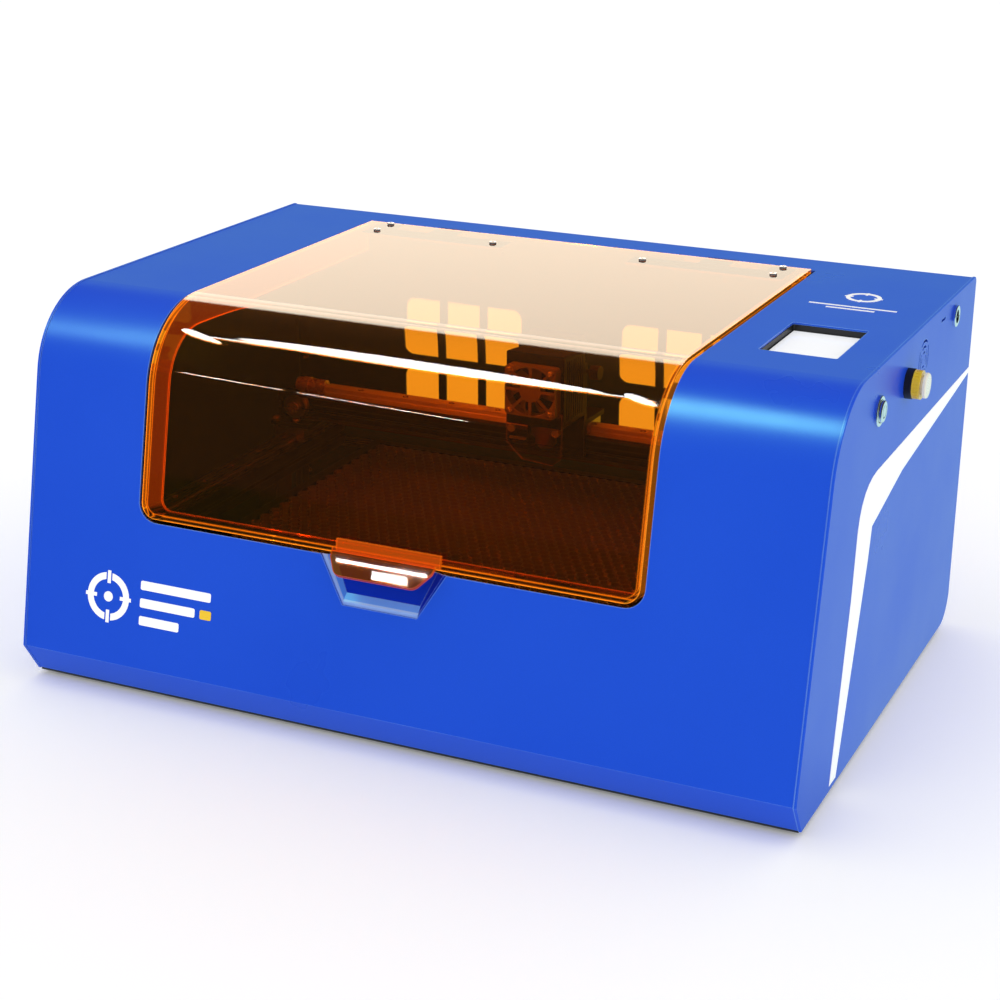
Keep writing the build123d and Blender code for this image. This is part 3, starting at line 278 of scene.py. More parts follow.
def polished(name, colour, roughness, metallic=1.0):
    """Polished metal with the faint haze of handling."""
    material, tree, shader, coords = new_material(name)
    haze = noise(tree, coords, 160.0, 5.0)
    plug(shader, "Base Color", blended(tree, haze, scaled(colour, 0.93), scaled(colour, 1.03)))
    plug(shader, "Roughness", mapped(tree, haze, 0.35, 0.75, roughness, roughness + 0.12))
    shader.inputs["Metallic"].default_value = metallic
    bumped(tree, shader, haze, 0.00001, 0.3)
    return material


# the painted glow (emission) round a cut edge reaches this much further, and walls that face sideways get a
# little painted glow
HALO_REACH, HALO_SHARE = 1.45, 0.12
WALL_SHARE = 0.10


def tinted_acrylic(name, tint, glow, glow_strength, edge, body_glow=0.0, front_share=0.0):
    """Clear tinted sheet. Lamps shine through it, and its cut edges carry a painted glow (emission) that
    stands for the light they gather.

    A sheet lets tint through, so one of its two faces lets the root of tint through. Walls that
    face the front get a painted glow of front_share, and the whole sheet a painted glow of body_glow."""
    material, tree, shader, coords = new_material(name)
    shader.inputs["Transmission Weight"].default_value = 1.0
    shader.inputs["IOR"].default_value = 1.49
    shader.inputs["Emission Color"].default_value = (*glow, 1.0)
    smear = noise(tree, coords, 26.0, 4.0)
    line = edge_mask(tree, edge, CLEAR_COSINE)
    halo = edge_mask(tree, edge * HALO_REACH, CLEAR_COSINE)
    plug(shader, "Base Color", blended(tree, smear, scaled(tint, 0.97), scaled(tint, 1.03)))
    plug(shader, "Roughness", mapped(tree, smear, 0.45, 0.8, 0.012, 0.035))
    painted_glow = arithmetic(tree, "ADD", arithmetic(tree, "MULTIPLY", halo, HALO_SHARE), line)
    surface = tree.nodes.new("ShaderNodeNewGeometry")
    facing = tree.nodes.new("ShaderNodeSeparateXYZ")
    tree.links.new(surface.outputs["Normal"], facing.inputs["Vector"])
    sideways = arithmetic(tree, "ABSOLUTE", facing.outputs["X"], 0.0)
    painted_glow = arithmetic(tree, "ADD", painted_glow, mapped(tree, sideways, 0.75, 0.98, 0.0, WALL_SHARE))
    if front_share:
        forward = arithmetic(tree, "MULTIPLY", facing.outputs["Y"], -1.0)
        painted_glow = arithmetic(tree, "ADD", painted_glow, mapped(tree, forward, 0.8, 0.97, 0.0, front_share))
    plug(shader, "Emission Strength", mapped(tree, painted_glow, 0.0, 1.0, body_glow, glow_strength))
    lets_through = tree.nodes.new("ShaderNodeBsdfTransparent")
    lets_through.inputs["Color"].default_value = (*[sqrt(channel) for channel in tint], 1.0)
    rays = tree.nodes.new("ShaderNodeLightPath")
    mix_shader(tree, rays.outputs["Is Shadow Ray"], shader.outputs["BSDF"], lets_through.outputs["BSDF"])
    return material


def lit_display(name, low, high, border):
    """Lit panel under glass: a bright active area with a thin dark margin round it."""
    material, tree, shader, coords = new_material(name)
    place = tree.nodes.new("ShaderNodeSeparateXYZ")
    tree.links.new(coords, place.inputs["Vector"])
    inside = None
    for axis, lowest, highest in (("X", low.x, high.x), ("Y", low.y, high.y)):
        for edge, sign in ((lowest + border, 1.0), (highest - border, -1.0)):
            distance = arithmetic(tree, "SUBTRACT", place.outputs[axis], edge)
            distance = arithmetic(tree, "MULTIPLY", distance, sign)
            step = mapped(tree, distance, 0.0, 0.3 * MM, 0.0, 1.0)
            inside = step if inside is None else arithmetic(tree, "MULTIPLY", inside, step)
    pixels = noise(tree, coords, 2400.0, 1.0)
    lit = blended(tree, mapped(tree, pixels, 0.3, 0.7, 0.0, 0.12), (0.93, 0.94, 0.96), (0.78, 0.80, 0.84))
    plug(shader, "Base Color", blended(tree, inside, (0.01, 0.01, 0.012), lit))
    shader.inputs["Emission Color"].default_value = (0.97, 0.98, 1.0, 1.0)
    plug(shader, "Emission Strength", mapped(tree, inside, 0.0, 1.0, 0.0, 0.3))
    plug(shader, "Roughness", mapped(tree, pixels, 0.0, 1.0, 0.08, 0.12))
    return material


def vinyl(name, colour):
    """Printed film with a slight orange peel and a faint painted glow (emission) that makes it brighter."""
    material, tree, shader, coords = new_material(name)
    peel = noise(tree, coords, 420.0, 2.0)
    dust = noise(tree, coords, 60.0, 5.0)
    plug(shader, "Base Color", blended(tree, dust, scaled(colour, 0.985), scaled(colour, 1.01)))
    plug(shader, "Roughness", mapped(tree, peel, 0.3, 0.7, 0.36, 0.42))
    # painted glow: a faint emission in the film's own colour brightens it
    shader.inputs["Emission Color"].default_value = (*colour, 1.0)
    shader.inputs["Emission Strength"].default_value = 0.17
    bumped(tree, shader, peel, 0.00001, 0.04)
    return material


def soft_rubber(name, colour):
    """Matt rubber with grit and chalky patches."""
    material, tree, shader, coords = new_material(name)
    grit = noise(tree, coords, 900.0, 4.0)
    chalk = noise(tree, coords, 70.0, 5.0)
    base = blended(tree, mapped(tree, chalk, 0.45, 0.8, 0.0, 0.5), colour, scaled(colour, 3.0))
    plug(shader, "Base Color", base)
    plug(shader, "Roughness", mapped(tree, grit, 0.3, 0.7, 0.62, 0.85))
    bumped(tree, shader, grit, 0.00015, 0.5)
    return material


def circuit_board(name):
    """Green board with a darker network of tracks."""
    material, tree, shader, coords = new_material(name)
    cells = tree.nodes.new("ShaderNodeTexVoronoi")
    cells.distance = "MANHATTAN"
    cells.inputs["Scale"].default_value = 420.0
    tree.links.new(coords, cells.inputs["Vector"])
    tracks = mapped(tree, cells.outputs["Distance"], 0.2, 0.5, 0.0, 1.0)
    plug(shader, "Base Color", blended(tree, tracks, (0.01, 0.16, 0.06), (0.02, 0.30, 0.11)))
    plug(shader, "Roughness", mapped(tree, tracks, 0.0, 1.0, 0.25, 0.4))
    bumped(tree, shader, tracks, 0.00005, 0.5)
    return material


BLUE = (0.0125, 0.073, 0.690)
# edge colour of the blue casing: wear and a painted edge highlight
EDGE_WEAR_AND_HIGHLIGHT_BLUE = (0.220, 0.430, 0.930)
BLACK_METAL = (0.012, 0.012, 0.013)
ORANGE = (0.90, 0.275, 0.008)
BLUE_SHEEN = (0.25, 1.0, 0.85)
BLACK_RUBBER = (0.012, 0.012, 0.012)
STEEL = (0.60, 0.60, 0.61)
SCREEN_MARGIN = 7.2 * MM

casing_blue = powder_coat("casing_blue", BLUE, EDGE_WEAR_AND_HIGHLIGHT_BLUE, 0.30, 0.3, BLUE_SHEEN)
# the finger pocket carries painted light: a painted shade on its back, a paler lit colour on its floor and
# left wall, and painted highlights on its edges and rim
pocket_blue = pocket_coat(
    "pocket_blue",
    painted_shade_colour=(0.001, 0.014, 0.45),
    worn=(0.40, 0.64, 0.97),
    painted_lit_colour=(0.07, 0.26, 0.95),
    rim=(0.28, 0.46, 0.96),
    roughness=0.30,
    specular=0.2,
    tint=BLUE_SHEEN,
)
dark_steel = powder_coat("dark_steel", (0.022, 0.023, 0.026), (0.16, 0.16, 0.17), 0.48)
interior_black = powder_coat("interior_black", (0.014, 0.014, 0.015), (0.10, 0.10, 0.10), 0.5)
motor_black = powder_coat("motor_black", (0.016, 0.016, 0.018), (0.3, 0.3, 0.3), 0.36, 0.5)
steel_x = ground_metal("steel_along_x", STEEL, "X")
steel_y = ground_metal("steel_along_y", STEEL, "Y")
# the cross rail is painted paler and more diffuse than its steel, as a painted highlight for the bright line
# along its top
painted_bright_rail = ground_metal("painted_bright_rail", (0.90, 0.88, 0.84), "X", 0.42, 0.25)
hinge_steel = ground_metal("hinge_steel", (0.44, 0.44, 0.45), "X", 0.34)
screw_steel = polished("screw_steel", (0.66, 0.66, 0.67), 0.2, 0.7)
chrome = polished("chrome", (0.86, 0.87, 0.88), 0.07)
bright_aluminium = ground_metal("bright_aluminium", (0.74, 0.75, 0.76), "X", 0.33)
foil = ground_metal("cell_foil", (0.19, 0.155, 0.135), "Z", 0.45, 0.3)
black_aluminium = anodised("black_aluminium", BLACK_METAL, 0.42)
brass = polished("turned_brass", (0.85, 0.62, 0.25), 0.24, 0.5)
black_plastic = moulded("black_plastic", (0.012, 0.012, 0.013))
fan_plastic = moulded("fan_plastic", (0.200, 0.196, 0.185), 0.34)
yellow_plastic = moulded("yellow_plastic", (0.95, 0.62, 0.015), 0.3, 0.5)
cream_plastic = moulded("cream_plastic", (0.93, 0.89, 0.74), 0.28, 0.6)
white_film = vinyl("white_film", (0.97, 0.97, 0.95))
yellow_film = vinyl("yellow_film", (0.86, 0.55, 0.02))
rubber = soft_rubber("foot_rubber", BLACK_RUBBER)
belt_rubber = soft_rubber("belt_rubber", (0.010, 0.010, 0.011))
board_green = circuit_board("board_green")
# the lid, handle and shield sheets carry a painted glow (emission) on their cut edges and walls, and the
# handle a faint painted glow all over
lid_acrylic = tinted_acrylic("lid_acrylic", ORANGE, (1.0, 0.34, 0.025), 1.0, 1.9 * MM)
handle_acrylic = tinted_acrylic(
    "handle_acrylic", (0.62, 0.18, 0.015), (1.0, 0.20, 0.010), 0.45, 1.0 * MM, 0.05, 0.36
)
shield_acrylic = tinted_acrylic("shield_acrylic", (0.93, 0.55, 0.15), (1.0, 0.40, 0.08), 0.14, 0.5 * MM)
screen_low, screen_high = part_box("screen_bezel")
display = lit_display("lit_display", screen_low, screen_high, SCREEN_MARGIN)

CASING = "front_top_shell left_side_panel right_side_panel rear_panel".split()
FINISHES = {
    casing_blue: " ".join(CASING),
    pocket_blue: "finger_pocket",
    dark_steel: "base_pan frame_supports shaft_brackets",
    interior_black: "bay_wall",
    motor_black: "y_motor x_motor",
    steel_x: "y_shaft front_shaft",
    painted_bright_rail: "x_rail",
    steel_y: "y_rails rail_blocks carriage_block",
    hinge_steel: "lid_hinge_leaves body_hinge_leaves",
    screw_steel: "casing_screws lid_screws shield_screws hinge_pins idler_axle",
    chrome: "power_button_bezel power_button power_inlet",
    bright_aluminium: "y_pulleys front_pulleys shaft_coupling x_pulley x_idler nozzle",
    foil: "honeycomb_core",
    black_aluminium: "bed_frame rail_beams x_beam end_plates carriage_plate laser_module",
    brass: "travel_bumpers",
    black_plastic: "screen_bezel stop_switch_base focus_knob exhaust_flange",
    fan_plastic: "exhaust_fan_frame head_fan_frame exhaust_fan_rotor head_fan_rotor",
    yellow_plastic: "stop_switch_collar",
    cream_plastic: "stop_button",
    white_film: "printed_marks",
    rubber: "rubber_feet",
    belt_rubber: "y_belts x_belt",
    board_green: "control_board",
    lid_acrylic: "lid_cover",
    handle_acrylic: "lid_handle",
    shield_acrylic: "nozzle_shield",
    display: "touch_screen",
}
for finish, names in FINISHES.items():
    for node_name in names.split():
        nodes[node_name].data.materials.clear()
        nodes[node_name].data.materials.append(finish)


# ------------------------------------------------------------------ mesh helpers
def new_piece(name, shape, material, body, sharp=35.0):
    """Turns a bmesh into a piece that rides on a body and takes a finish."""
    bmesh.ops.recalc_face_normals(shape, faces=shape.faces)
    mesh = bpy.data.meshes.new(name)
    shape.to_mesh(mesh)
    shape.free()
    mesh.shade_smooth()
    mesh.set_sharp_from_angle(angle=radians(sharp))
    mesh.materials.append(material)
    piece = bpy.data.objects.new(name, mesh)
    scene.collection.objects.link(piece)
    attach(piece, body)
    return piece


def strip(shape, line, following, closed=False):
    """Row of quads between two lines of corners, joined end to start if it is closed."""
    if closed:
        line, following = [*line, line[0]], [*following, following[0]]
    for first, second, third, fourth in zip(line, line[1:], following[1:], following):
        shape.faces.new((first, second, third, fourth))


def cross_axes(axis):
    """Unit vector along axis and two directions across it."""
    along = Vector(axis).normalized()
    side = along.orthogonal().normalized()
    return along, side, along.cross(side)


def lathe(shape, centre, axis, profile, segments):
    """Closed solid of revolution. The profile lists (radius, distance along axis)."""
    along, side, other = cross_axes(axis)
    rings = []
    for radius, distance in profile:
        middle = Vector(centre) + along * distance
        ring = []
        for step in range(segments):
            angle = 2 * pi * step / segments
            ring.append(shape.verts.new(middle + (side * cos(angle) + other * sin(angle)) * radius))
        rings.append(ring)
    for ring, following in zip(rings, rings[1:]):
        strip(shape, ring, following, closed=True)
    shape.faces.new(list(reversed(rings[0])))
    shape.faces.new(rings[-1])


def wire_ring(shape, centre, axis, radius, wire):
    """Round wire of radius wire, bent into a ring round centre."""
    along, side, other = cross_axes(axis)
    segments, sides = 56, 8
    loops = []
    for step in range(segments):
        angle = 2 * pi * step / segments
        outward = side * cos(angle) + other * sin(angle)
        loop = []
        for corner in range(sides):
            turn = 2 * pi * corner / sides
            reach = outward * (radius + wire * cos(turn))
            loop.append(shape.verts.new(Vector(centre) + reach + along * wire * sin(turn)))
        loops.append(loop)
    for step in range(segments):
        strip(shape, loops[step], loops[(step + 1) % segments], closed=True)


def socket_screw(shape, centre, axis, radius, height):
    """Button head with a socket, standing on centre."""
    profile = (
        (radius, 0.0),
        (radius, height * 0.35),
        (radius * 0.9, height * 0.75),
        (radius * 0.66, height),
        (radius * 0.5, height),
        (radius * 0.46, height * 0.4),
        (radius * 0.05, height * 0.35),
    )
    lathe(shape, centre, axis, profile, 24)


def slab(shape, outline, direction):
    """Flat plate: an outline of points pushed out along direction."""
    near = [shape.verts.new(point) for point in outline]
    far = [shape.verts.new(point + direction) for point in outline]
    strip(shape, near, far, closed=True)
    shape.faces.new(list(reversed(near)))
    shape.faces.new(far)


def rounded_rectangle(centre, right, up, width, height, radius):
    """Points round a rectangle with rounded corners."""
    steps = 5
    points = []
    corners = ((1, 1, 0.0), (-1, 1, 0.5), (-1, -1, 1.0), (1, -1, 1.5))
    for sign_x, sign_y, start in corners:
        for step in range(steps + 1):
            angle = pi * (start + 0.5 * step / steps)
            x = sign_x * (width / 2 - radius) + radius * cos(angle)
            y = sign_y * (height / 2 - radius) + radius * sin(angle)
            points.append(centre + right * x + up * y)
    return points


# ------------------------------------------------------------------ fans
BLADE_ROWS, BLADE_COLUMNS = 7, 8
BLADE_THICKNESS, BLADE_WIDTH, BLADE_CAMBER = 0.075, 0.82, 0.07  # shares of the rotor's depth
BLADE_SWEEP = 0.32
ROOT_PITCH, PITCH_CHANGE = 54, 22


def fan_blade(shape, centre, axis, hub, tip, depth, start):
    """One twisted and cambered blade between the hub and the tip."""
    along, side, other = cross_axes(axis)
    root = hub * 0.96
    skins = {1: [], -1: []}
    for row in range(BLADE_ROWS):
        reach = row / (BLADE_ROWS - 1)
        radius = root + (tip - root) * reach
        pitch = radians(ROOT_PITCH - PITCH_CHANGE * reach)
        wrap = BLADE_WIDTH * depth / (radius * tan(pitch))
        for skin in (1, -1):
            line = []
            for column in range(BLADE_COLUMNS):
                share = column / (BLADE_COLUMNS - 1)
                angle = start + BLADE_SWEEP * reach + (share - 0.5) * wrap
                lift = depth * (0.06 + 0.88 * share - BLADE_CAMBER * sin(pi * share))
                fullness = 0.25 + 0.75 * sin(pi * (0.1 + 0.8 * share))
                lift += skin * depth * BLADE_THICKNESS * fullness / 2
                outward = side * cos(angle) + other * sin(angle)
                line.append(shape.verts.new(Vector(centre) + outward * radius + along * lift))
            skins[skin].append(line)
    top, bottom = skins[1], skins[-1]
    for lines in (top, bottom):
        for line, following in zip(lines, lines[1:]):
            strip(shape, line, following)
    for row in (0, -1):
        strip(shape, top[row], bottom[row])
    for column in (0, -1):
        strip(shape, [line[column] for line in top], [line[column] for line in bottom])


def fan_rotor(name, node, axis, hub, blades, body):
    """Rotor with curved blades and a dished hub, in the room of the plain one. Returns its centre."""
    low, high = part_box(node)
    centre = (low + high) / 2
    depth = high.y - low.y
    tip = (high.z - low.z) / 2
    base = centre - Vector(axis) * depth / 2
    shape = bmesh.new()
    rim = hub * 0.12
    profile = (
        (hub, 0.0),
        (hub, depth - rim),
        (hub - rim, depth),
        (hub * 0.62, depth),
        (hub * 0.58, depth - rim * 0.5),
        (hub * 0.1, depth - rim * 0.5),
    )
    lathe(shape, base, axis, profile, 40)
    for blade in range(blades):
        fan_blade(shape, base, axis, hub, tip, depth, 2 * pi * blade / blades)
    rotor = new_piece(name, shape, fan_plastic, body, 40.0)
    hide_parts(node)
    return centre


HEAD_FAN_HUB, EXHAUST_FAN_HUB = 8.0 * MM, 12.5 * MM
FAN_BLADES = 7
fan_rotor("head_fan_blades", "head_fan_rotor", (0, -1, 0), HEAD_FAN_HUB, FAN_BLADES, "head_fan")
exhaust_centre = fan_rotor(
    "exhaust_fan_blades", "exhaust_fan_rotor", (0, 1, 0), EXHAUST_FAN_HUB, FAN_BLADES, "exhaust_fan"
)

COLLAR_WALL = 4.5 * MM
GUARD_WIRE = 0.75 * MM
GUARD_SINK, SPOKE_SINK = 2.6 * MM, 1.3 * MM
FLANGE_THICKNESS = 2.0 * MM
FLANGE_SCREW_PITCH = 52.0 * MM
FLANGE_SCREW_RADIUS, FLANGE_SCREW_HEIGHT = 2.9 * MM, 1.9 * MM


def exhaust_guard():
    """Wire finger guard inside the collar, and the four screws of the flange."""
    low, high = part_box("exhaust_flange")
    bore = (high.x - low.x) / 2 - COLLAR_WALL
    plane = Vector((exhaust_centre.x, high.y - GUARD_SINK, exhaust_centre.z))
    shape = bmesh.new()
    for share in (0.22, 0.44, 0.66, 0.86):
        wire_ring(shape, plane, (0, 1, 0), bore * share, GUARD_WIRE)
    for quarter in range(4):
        angle = pi / 4 + quarter * pi / 2
        outward = Vector((cos(angle), 0, sin(angle)))
        start = plane - Vector((0, SPOKE_SINK, 0)) + outward * bore * 0.12
        lathe(shape, start, outward, ((GUARD_WIRE, 0.0), (GUARD_WIRE, bore * 0.87)), 8)
    new_piece("exhaust_guard", shape, screw_steel, "casing")
    shape = bmesh.new()
    reach = FLANGE_SCREW_PITCH / 2
    for sign_x in (-1, 1):
        for sign_z in (-1, 1):
            x, z = exhaust_centre.x + sign_x * reach, exhaust_centre.z + sign_z * reach
            foot = (x, low.y + FLANGE_THICKNESS, z)
            socket_screw(shape, foot, (0, 1, 0), FLANGE_SCREW_RADIUS, FLANGE_SCREW_HEIGHT)
    new_piece("flange_screws", shape, screw_steel, "casing")


exhaust_guard()


# ------------------------------------------------------------------ work bed
CELL_COLUMNS, CELL_ROWS = 38, 41
CELL_WALL, CELL_GAP = 0.35 * MM, 0.02 * MM


def honeycomb():
    """Open hexagonal cells that fill the bed frame."""
    low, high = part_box("honeycomb_core")
    pitch = (high.x - low.x) / (CELL_COLUMNS + 0.5)
    tall = 2 / sqrt(3)
    stretch = (high.y - low.y) / (pitch * (tall + (CELL_ROWS - 1) * tall * 0.75))
    outside, inside = pitch / 2 - CELL_GAP, pitch / 2 - CELL_WALL
    section = ((outside, high.z), (inside, high.z), (inside, low.z), (outside, low.z))
    shape = bmesh.new()
    for row in range(CELL_ROWS):
        y = low.y + pitch * stretch * tall * (0.5 + 0.75 * row)
        for column in range(CELL_COLUMNS):
            x = low.x + pitch * (column + (0.5 if row % 2 == 0 else 1.0))
            loops = []
            for half_width, z in section:
                radius = half_width * tall
                loop = []
                for corner in range(6):
                    angle = pi / 6 + corner * pi / 3
                    point = (x + radius * cos(angle), y + stretch * radius * sin(angle), z)
                    loop.append(shape.verts.new(point))
                loops.append(loop)
            for loop, following in zip(loops, [*loops[1:], loops[0]]):
                strip(shape, loop, following, closed=True)
    cells = new_piece("honeycomb_cells", shape, foil, "casing")
    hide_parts("honeycomb_core")


honeycomb()


# ------------------------------------------------------------------ toothed belts
BELT_WIDTH, BELT_THICKNESS = 6.0 * MM, 0.95 * MM
TOOTH_PITCH, TOOTH = 2.0 * MM, 0.55 * MM


def belt(shape, low, high, run, across):
    """Closed belt with teeth inside, lying in the box from low to high. Its runs follow run."""
    radius = (high.z - low.z) / 2 - BELT_THICKNESS
    centre = (low + high) / 2
    straight = (high - low).dot(run) - 2 * (radius + BELT_THICKNESS)
    length = 2 * straight + 2 * pi * radius
    half = across * (high - low).dot(across) / 2
    count = int(length / TOOTH_PITCH) * 4
    up = Vector((0, 0, 1))
    rings = []
    for step in range(count):
        place = length * step / count
        if place < straight:
            point, outward = run * (place - straight / 2) + up * radius, up
        elif place < straight + pi * radius:
            angle = (place - straight) / radius
            outward = run * sin(angle) + up * cos(angle)
            point = run * straight / 2 + outward * radius
        elif place < 2 * straight + pi * radius:
            along = place - straight - pi * radius
            point, outward = run * (straight / 2 - along) - up * radius, -up
        else:
            angle = (place - 2 * straight - pi * radius) / radius
            outward = -run * sin(angle) - up * cos(angle)
            point = -run * straight / 2 + outward * radius
        inner = centre + point + outward * (-TOOTH if step % 4 < 2 else 0.0)
        outer = centre + point + outward * BELT_THICKNESS
        corners = (inner - half, outer - half, outer + half, inner + half)
        rings.append([shape.verts.new(corner) for corner in corners])
    for ring, following in zip(rings, [*rings[1:], rings[0]]):
        strip(shape, ring, following, closed=True)


side_low, side_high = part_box("y_belts")
shape = bmesh.new()
for start_x in (side_low.x, side_high.x - BELT_WIDTH):
    belt_low = Vector((start_x, side_low.y, side_low.z))
    belt_high = Vector((start_x + BELT_WIDTH, side_high.y, side_high.z))
    belt(shape, belt_low, belt_high, Vector((0, 1, 0)), Vector((1, 0, 0)))
side_belts = new_piece("side_belts", shape, belt_rubber, "casing", 30.0)
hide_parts("y_belts")

shape = bmesh.new()
belt(shape, *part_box("x_belt"), Vector((1, 0, 0)), Vector((0, 1, 0)))
cross_belt = new_piece("cross_belt", shape, belt_rubber, "gantry", 30.0)
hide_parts("x_belt")


# ------------------------------------------------------------------ small fasteners and marks
RAIL_SCREW_STEP, RAIL_SCREW_HEAD = 40.0 * MM, 2.3 * MM
RAIL_SCREW_SUNK, RAIL_SCREW_PROUD = 0.4 * MM, 0.08 * MM
RAIL_HALF_WIDTH = 6.0 * MM
RAIL_SCREW_PROFILE = (
    (RAIL_SCREW_HEAD, 0.0),
    (RAIL_SCREW_HEAD, RAIL_SCREW_SUNK + RAIL_SCREW_PROUD),
    (RAIL_SCREW_HEAD * 0.55, RAIL_SCREW_SUNK + RAIL_SCREW_PROUD),
    (RAIL_SCREW_HEAD * 0.5, RAIL_SCREW_SUNK * 0.2),
)


def rail_screws(name, places, body):
    """Nearly flush screws whose heads come up at the given places on top of a rail."""
    shape = bmesh.new()
    for x, y, z in places:
        lathe(shape, (x, y, z - RAIL_SCREW_SUNK), (0, 0, 1), RAIL_SCREW_PROFILE, 20)
    new_piece(name, shape, screw_steel, body)


def evenly(start, end, lead):
    """Places one screw step apart from start to end. The first is lead of a step from start."""
    return [start + RAIL_SCREW_STEP * (index + lead) for index in range(int((end - start) / RAIL_SCREW_STEP))]


def rail_fasteners():
    """Lines of screws along the two side rails and the cross rail."""
    low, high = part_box("y_rails")
    rails = (low.x + RAIL_HALF_WIDTH, high.x - RAIL_HALF_WIDTH)
    places = [(x, y, high.z) for x in rails for y in evenly(low.y, high.y, 0.55)]
    rail_screws("side_rail_screws", places, "casing")
    low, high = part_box("x_rail")
    places = [(x, (low.y + high.y) / 2, high.z) for x in evenly(low.x, high.x, 0.75)]
    rail_screws("cross_rail_screws", places, "gantry")


PLATE_SCREW_OUTER, PLATE_SCREW_INNER, PLATE_SCREW_BACK = 11.0 * MM, 29.0 * MM, 6.0 * MM
PLATE_SCREW_RADIUS, PLATE_SCREW_HEIGHT = 3.4 * MM, 1.9 * MM
FAN_SCREW_INSET, FAN_SCREW_RADIUS, FAN_SCREW_HEIGHT = 4.0 * MM, 2.4 * MM, 1.6 * MM


def gantry_fasteners():
    """Socket screws on the end plates and on the head's fan."""
    low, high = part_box("end_plates")
    plate_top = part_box("x_beam")[0].z
    shape = bmesh.new()
    for x in (
        low.x + PLATE_SCREW_OUTER,
        low.x + PLATE_SCREW_INNER,
        high.x - PLATE_SCREW_INNER,
        high.x - PLATE_SCREW_OUTER,
    ):
        foot = (x, low.y + PLATE_SCREW_BACK, plate_top)
        socket_screw(shape, foot, (0, 0, 1), PLATE_SCREW_RADIUS, PLATE_SCREW_HEIGHT)
    new_piece("end_plate_screws", shape, screw_steel, "gantry")
    low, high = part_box("head_fan_frame")
    reach = (high.x - low.x) / 2 - FAN_SCREW_INSET
    centre = (low + high) / 2
    shape = bmesh.new()
    for sign_x in (-1, 1):
        for sign_z in (-1, 1):
            foot = (centre.x + sign_x * reach, low.y, centre.z + sign_z * reach)
            socket_screw(shape, foot, (0, -1, 0), FAN_SCREW_RADIUS, FAN_SCREW_HEIGHT)
    new_piece("head_fan_screws", shape, screw_steel, "laser_head")


GAUGE_X, GAUGE_Z = 9.5 * MM, 18.0 * MM
GAUGE_WIDTH, GAUGE_HEIGHT, GAUGE_CORNER, GAUGE_THICKNESS = 13 * MM, 1.8 * MM, 0.6 * MM, 0.8 * MM
ACCENT_X, ACCENT_UP = 147.5 * MM, 47.0 * MM
ACCENT_WIDTH, ACCENT_HEIGHT, ACCENT_CORNER, ACCENT_THICKNESS = 9 * MM, 6.4 * MM, 1.2 * MM, 0.25 * MM
RIGHTWARD = Vector((1, 0, 0))


def focus_gauge():
    """Short bright strip on the shield, beside its left screw."""
    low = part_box("nozzle_shield")[0]
    centre = Vector((low.x + GAUGE_X, low.y, low.z + GAUGE_Z))
    outline = rounded_rectangle(centre, RIGHTWARD, Vector((0, 0, 1)), GAUGE_WIDTH, GAUGE_HEIGHT, GAUGE_CORNER)
    shape = bmesh.new()
    slab(shape, outline, Vector((0, -GAUGE_THICKNESS, 0)))
    new_piece("focus_gauge", shape, bright_aluminium, "laser_head")


def emblem_accent():
    """Small yellow block that ends the middle bar of the front emblem."""
    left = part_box("left_side_panel")[0].x
    centre = FRONT_FOOT + Vector((left + ACCENT_X, 0, 0)) + front_up * ACCENT_UP
    outline = rounded_rectangle(centre, RIGHTWARD, front_up, ACCENT_WIDTH, ACCENT_HEIGHT, ACCENT_CORNER)
    shape = bmesh.new()
    slab(shape, outline, front_out * ACCENT_THICKNESS)
    new_piece("emblem_accent", shape, yellow_film, "casing")


rail_fasteners()
gantry_fasteners()
focus_gauge()
emblem_accent()


# ------------------------------------------------------------------ stage
# brightness of what a mirrored ray sees after it leaves a clear sheet again
HAZE = 0.5
# glossy surfaces see the floor as dark in front of the machine and bright beside and behind it
MIRRORED_FLOOR = (0.68, 1.0, 1.0, 1.0)
FLOOR_DARK_Y, FLOOR_BRIGHT_Y = -0.32, -0.05
FLOOR_DARK, FLOOR_BRIGHT = 0.03, 0.85
FLOOR_REACH = 9.0
# the white walls light the machine, but glossy surfaces mirror the dark part of the studio
ROOM_LIGHT, MIRRORED_ROOM = 0.97, 0.05


def remainder(tree, share):
    """What share leaves of 1."""
    return arithmetic(tree, "SUBTRACT", 1.0, share)


def mirror_rays(tree):
    """1 for a ray that glossy surfaces have reflected, and 0 for one that spreads or goes straight."""
    rays = tree.nodes.new("ShaderNodeLightPath")
    reflected = arithmetic(tree, "MINIMUM", rays.outputs["Glossy Depth"], 1.0)
    return arithmetic(tree, "MULTIPLY", reflected, remainder(tree, rays.outputs["Is Diffuse Ray"]))


def softened(tree, plain):
    """Brightness of a mirrored thing: plain, or HAZE where the ray has left a clear sheet again."""
    rays = tree.nodes.new("ShaderNodeLightPath")
    leaving = rays.outputs["Is Transmission Ray"]
    kept = arithmetic(tree, "MULTIPLY", plain, remainder(tree, leaving))
    return arithmetic(tree, "ADD", kept, arithmetic(tree, "MULTIPLY", leaving, HAZE))


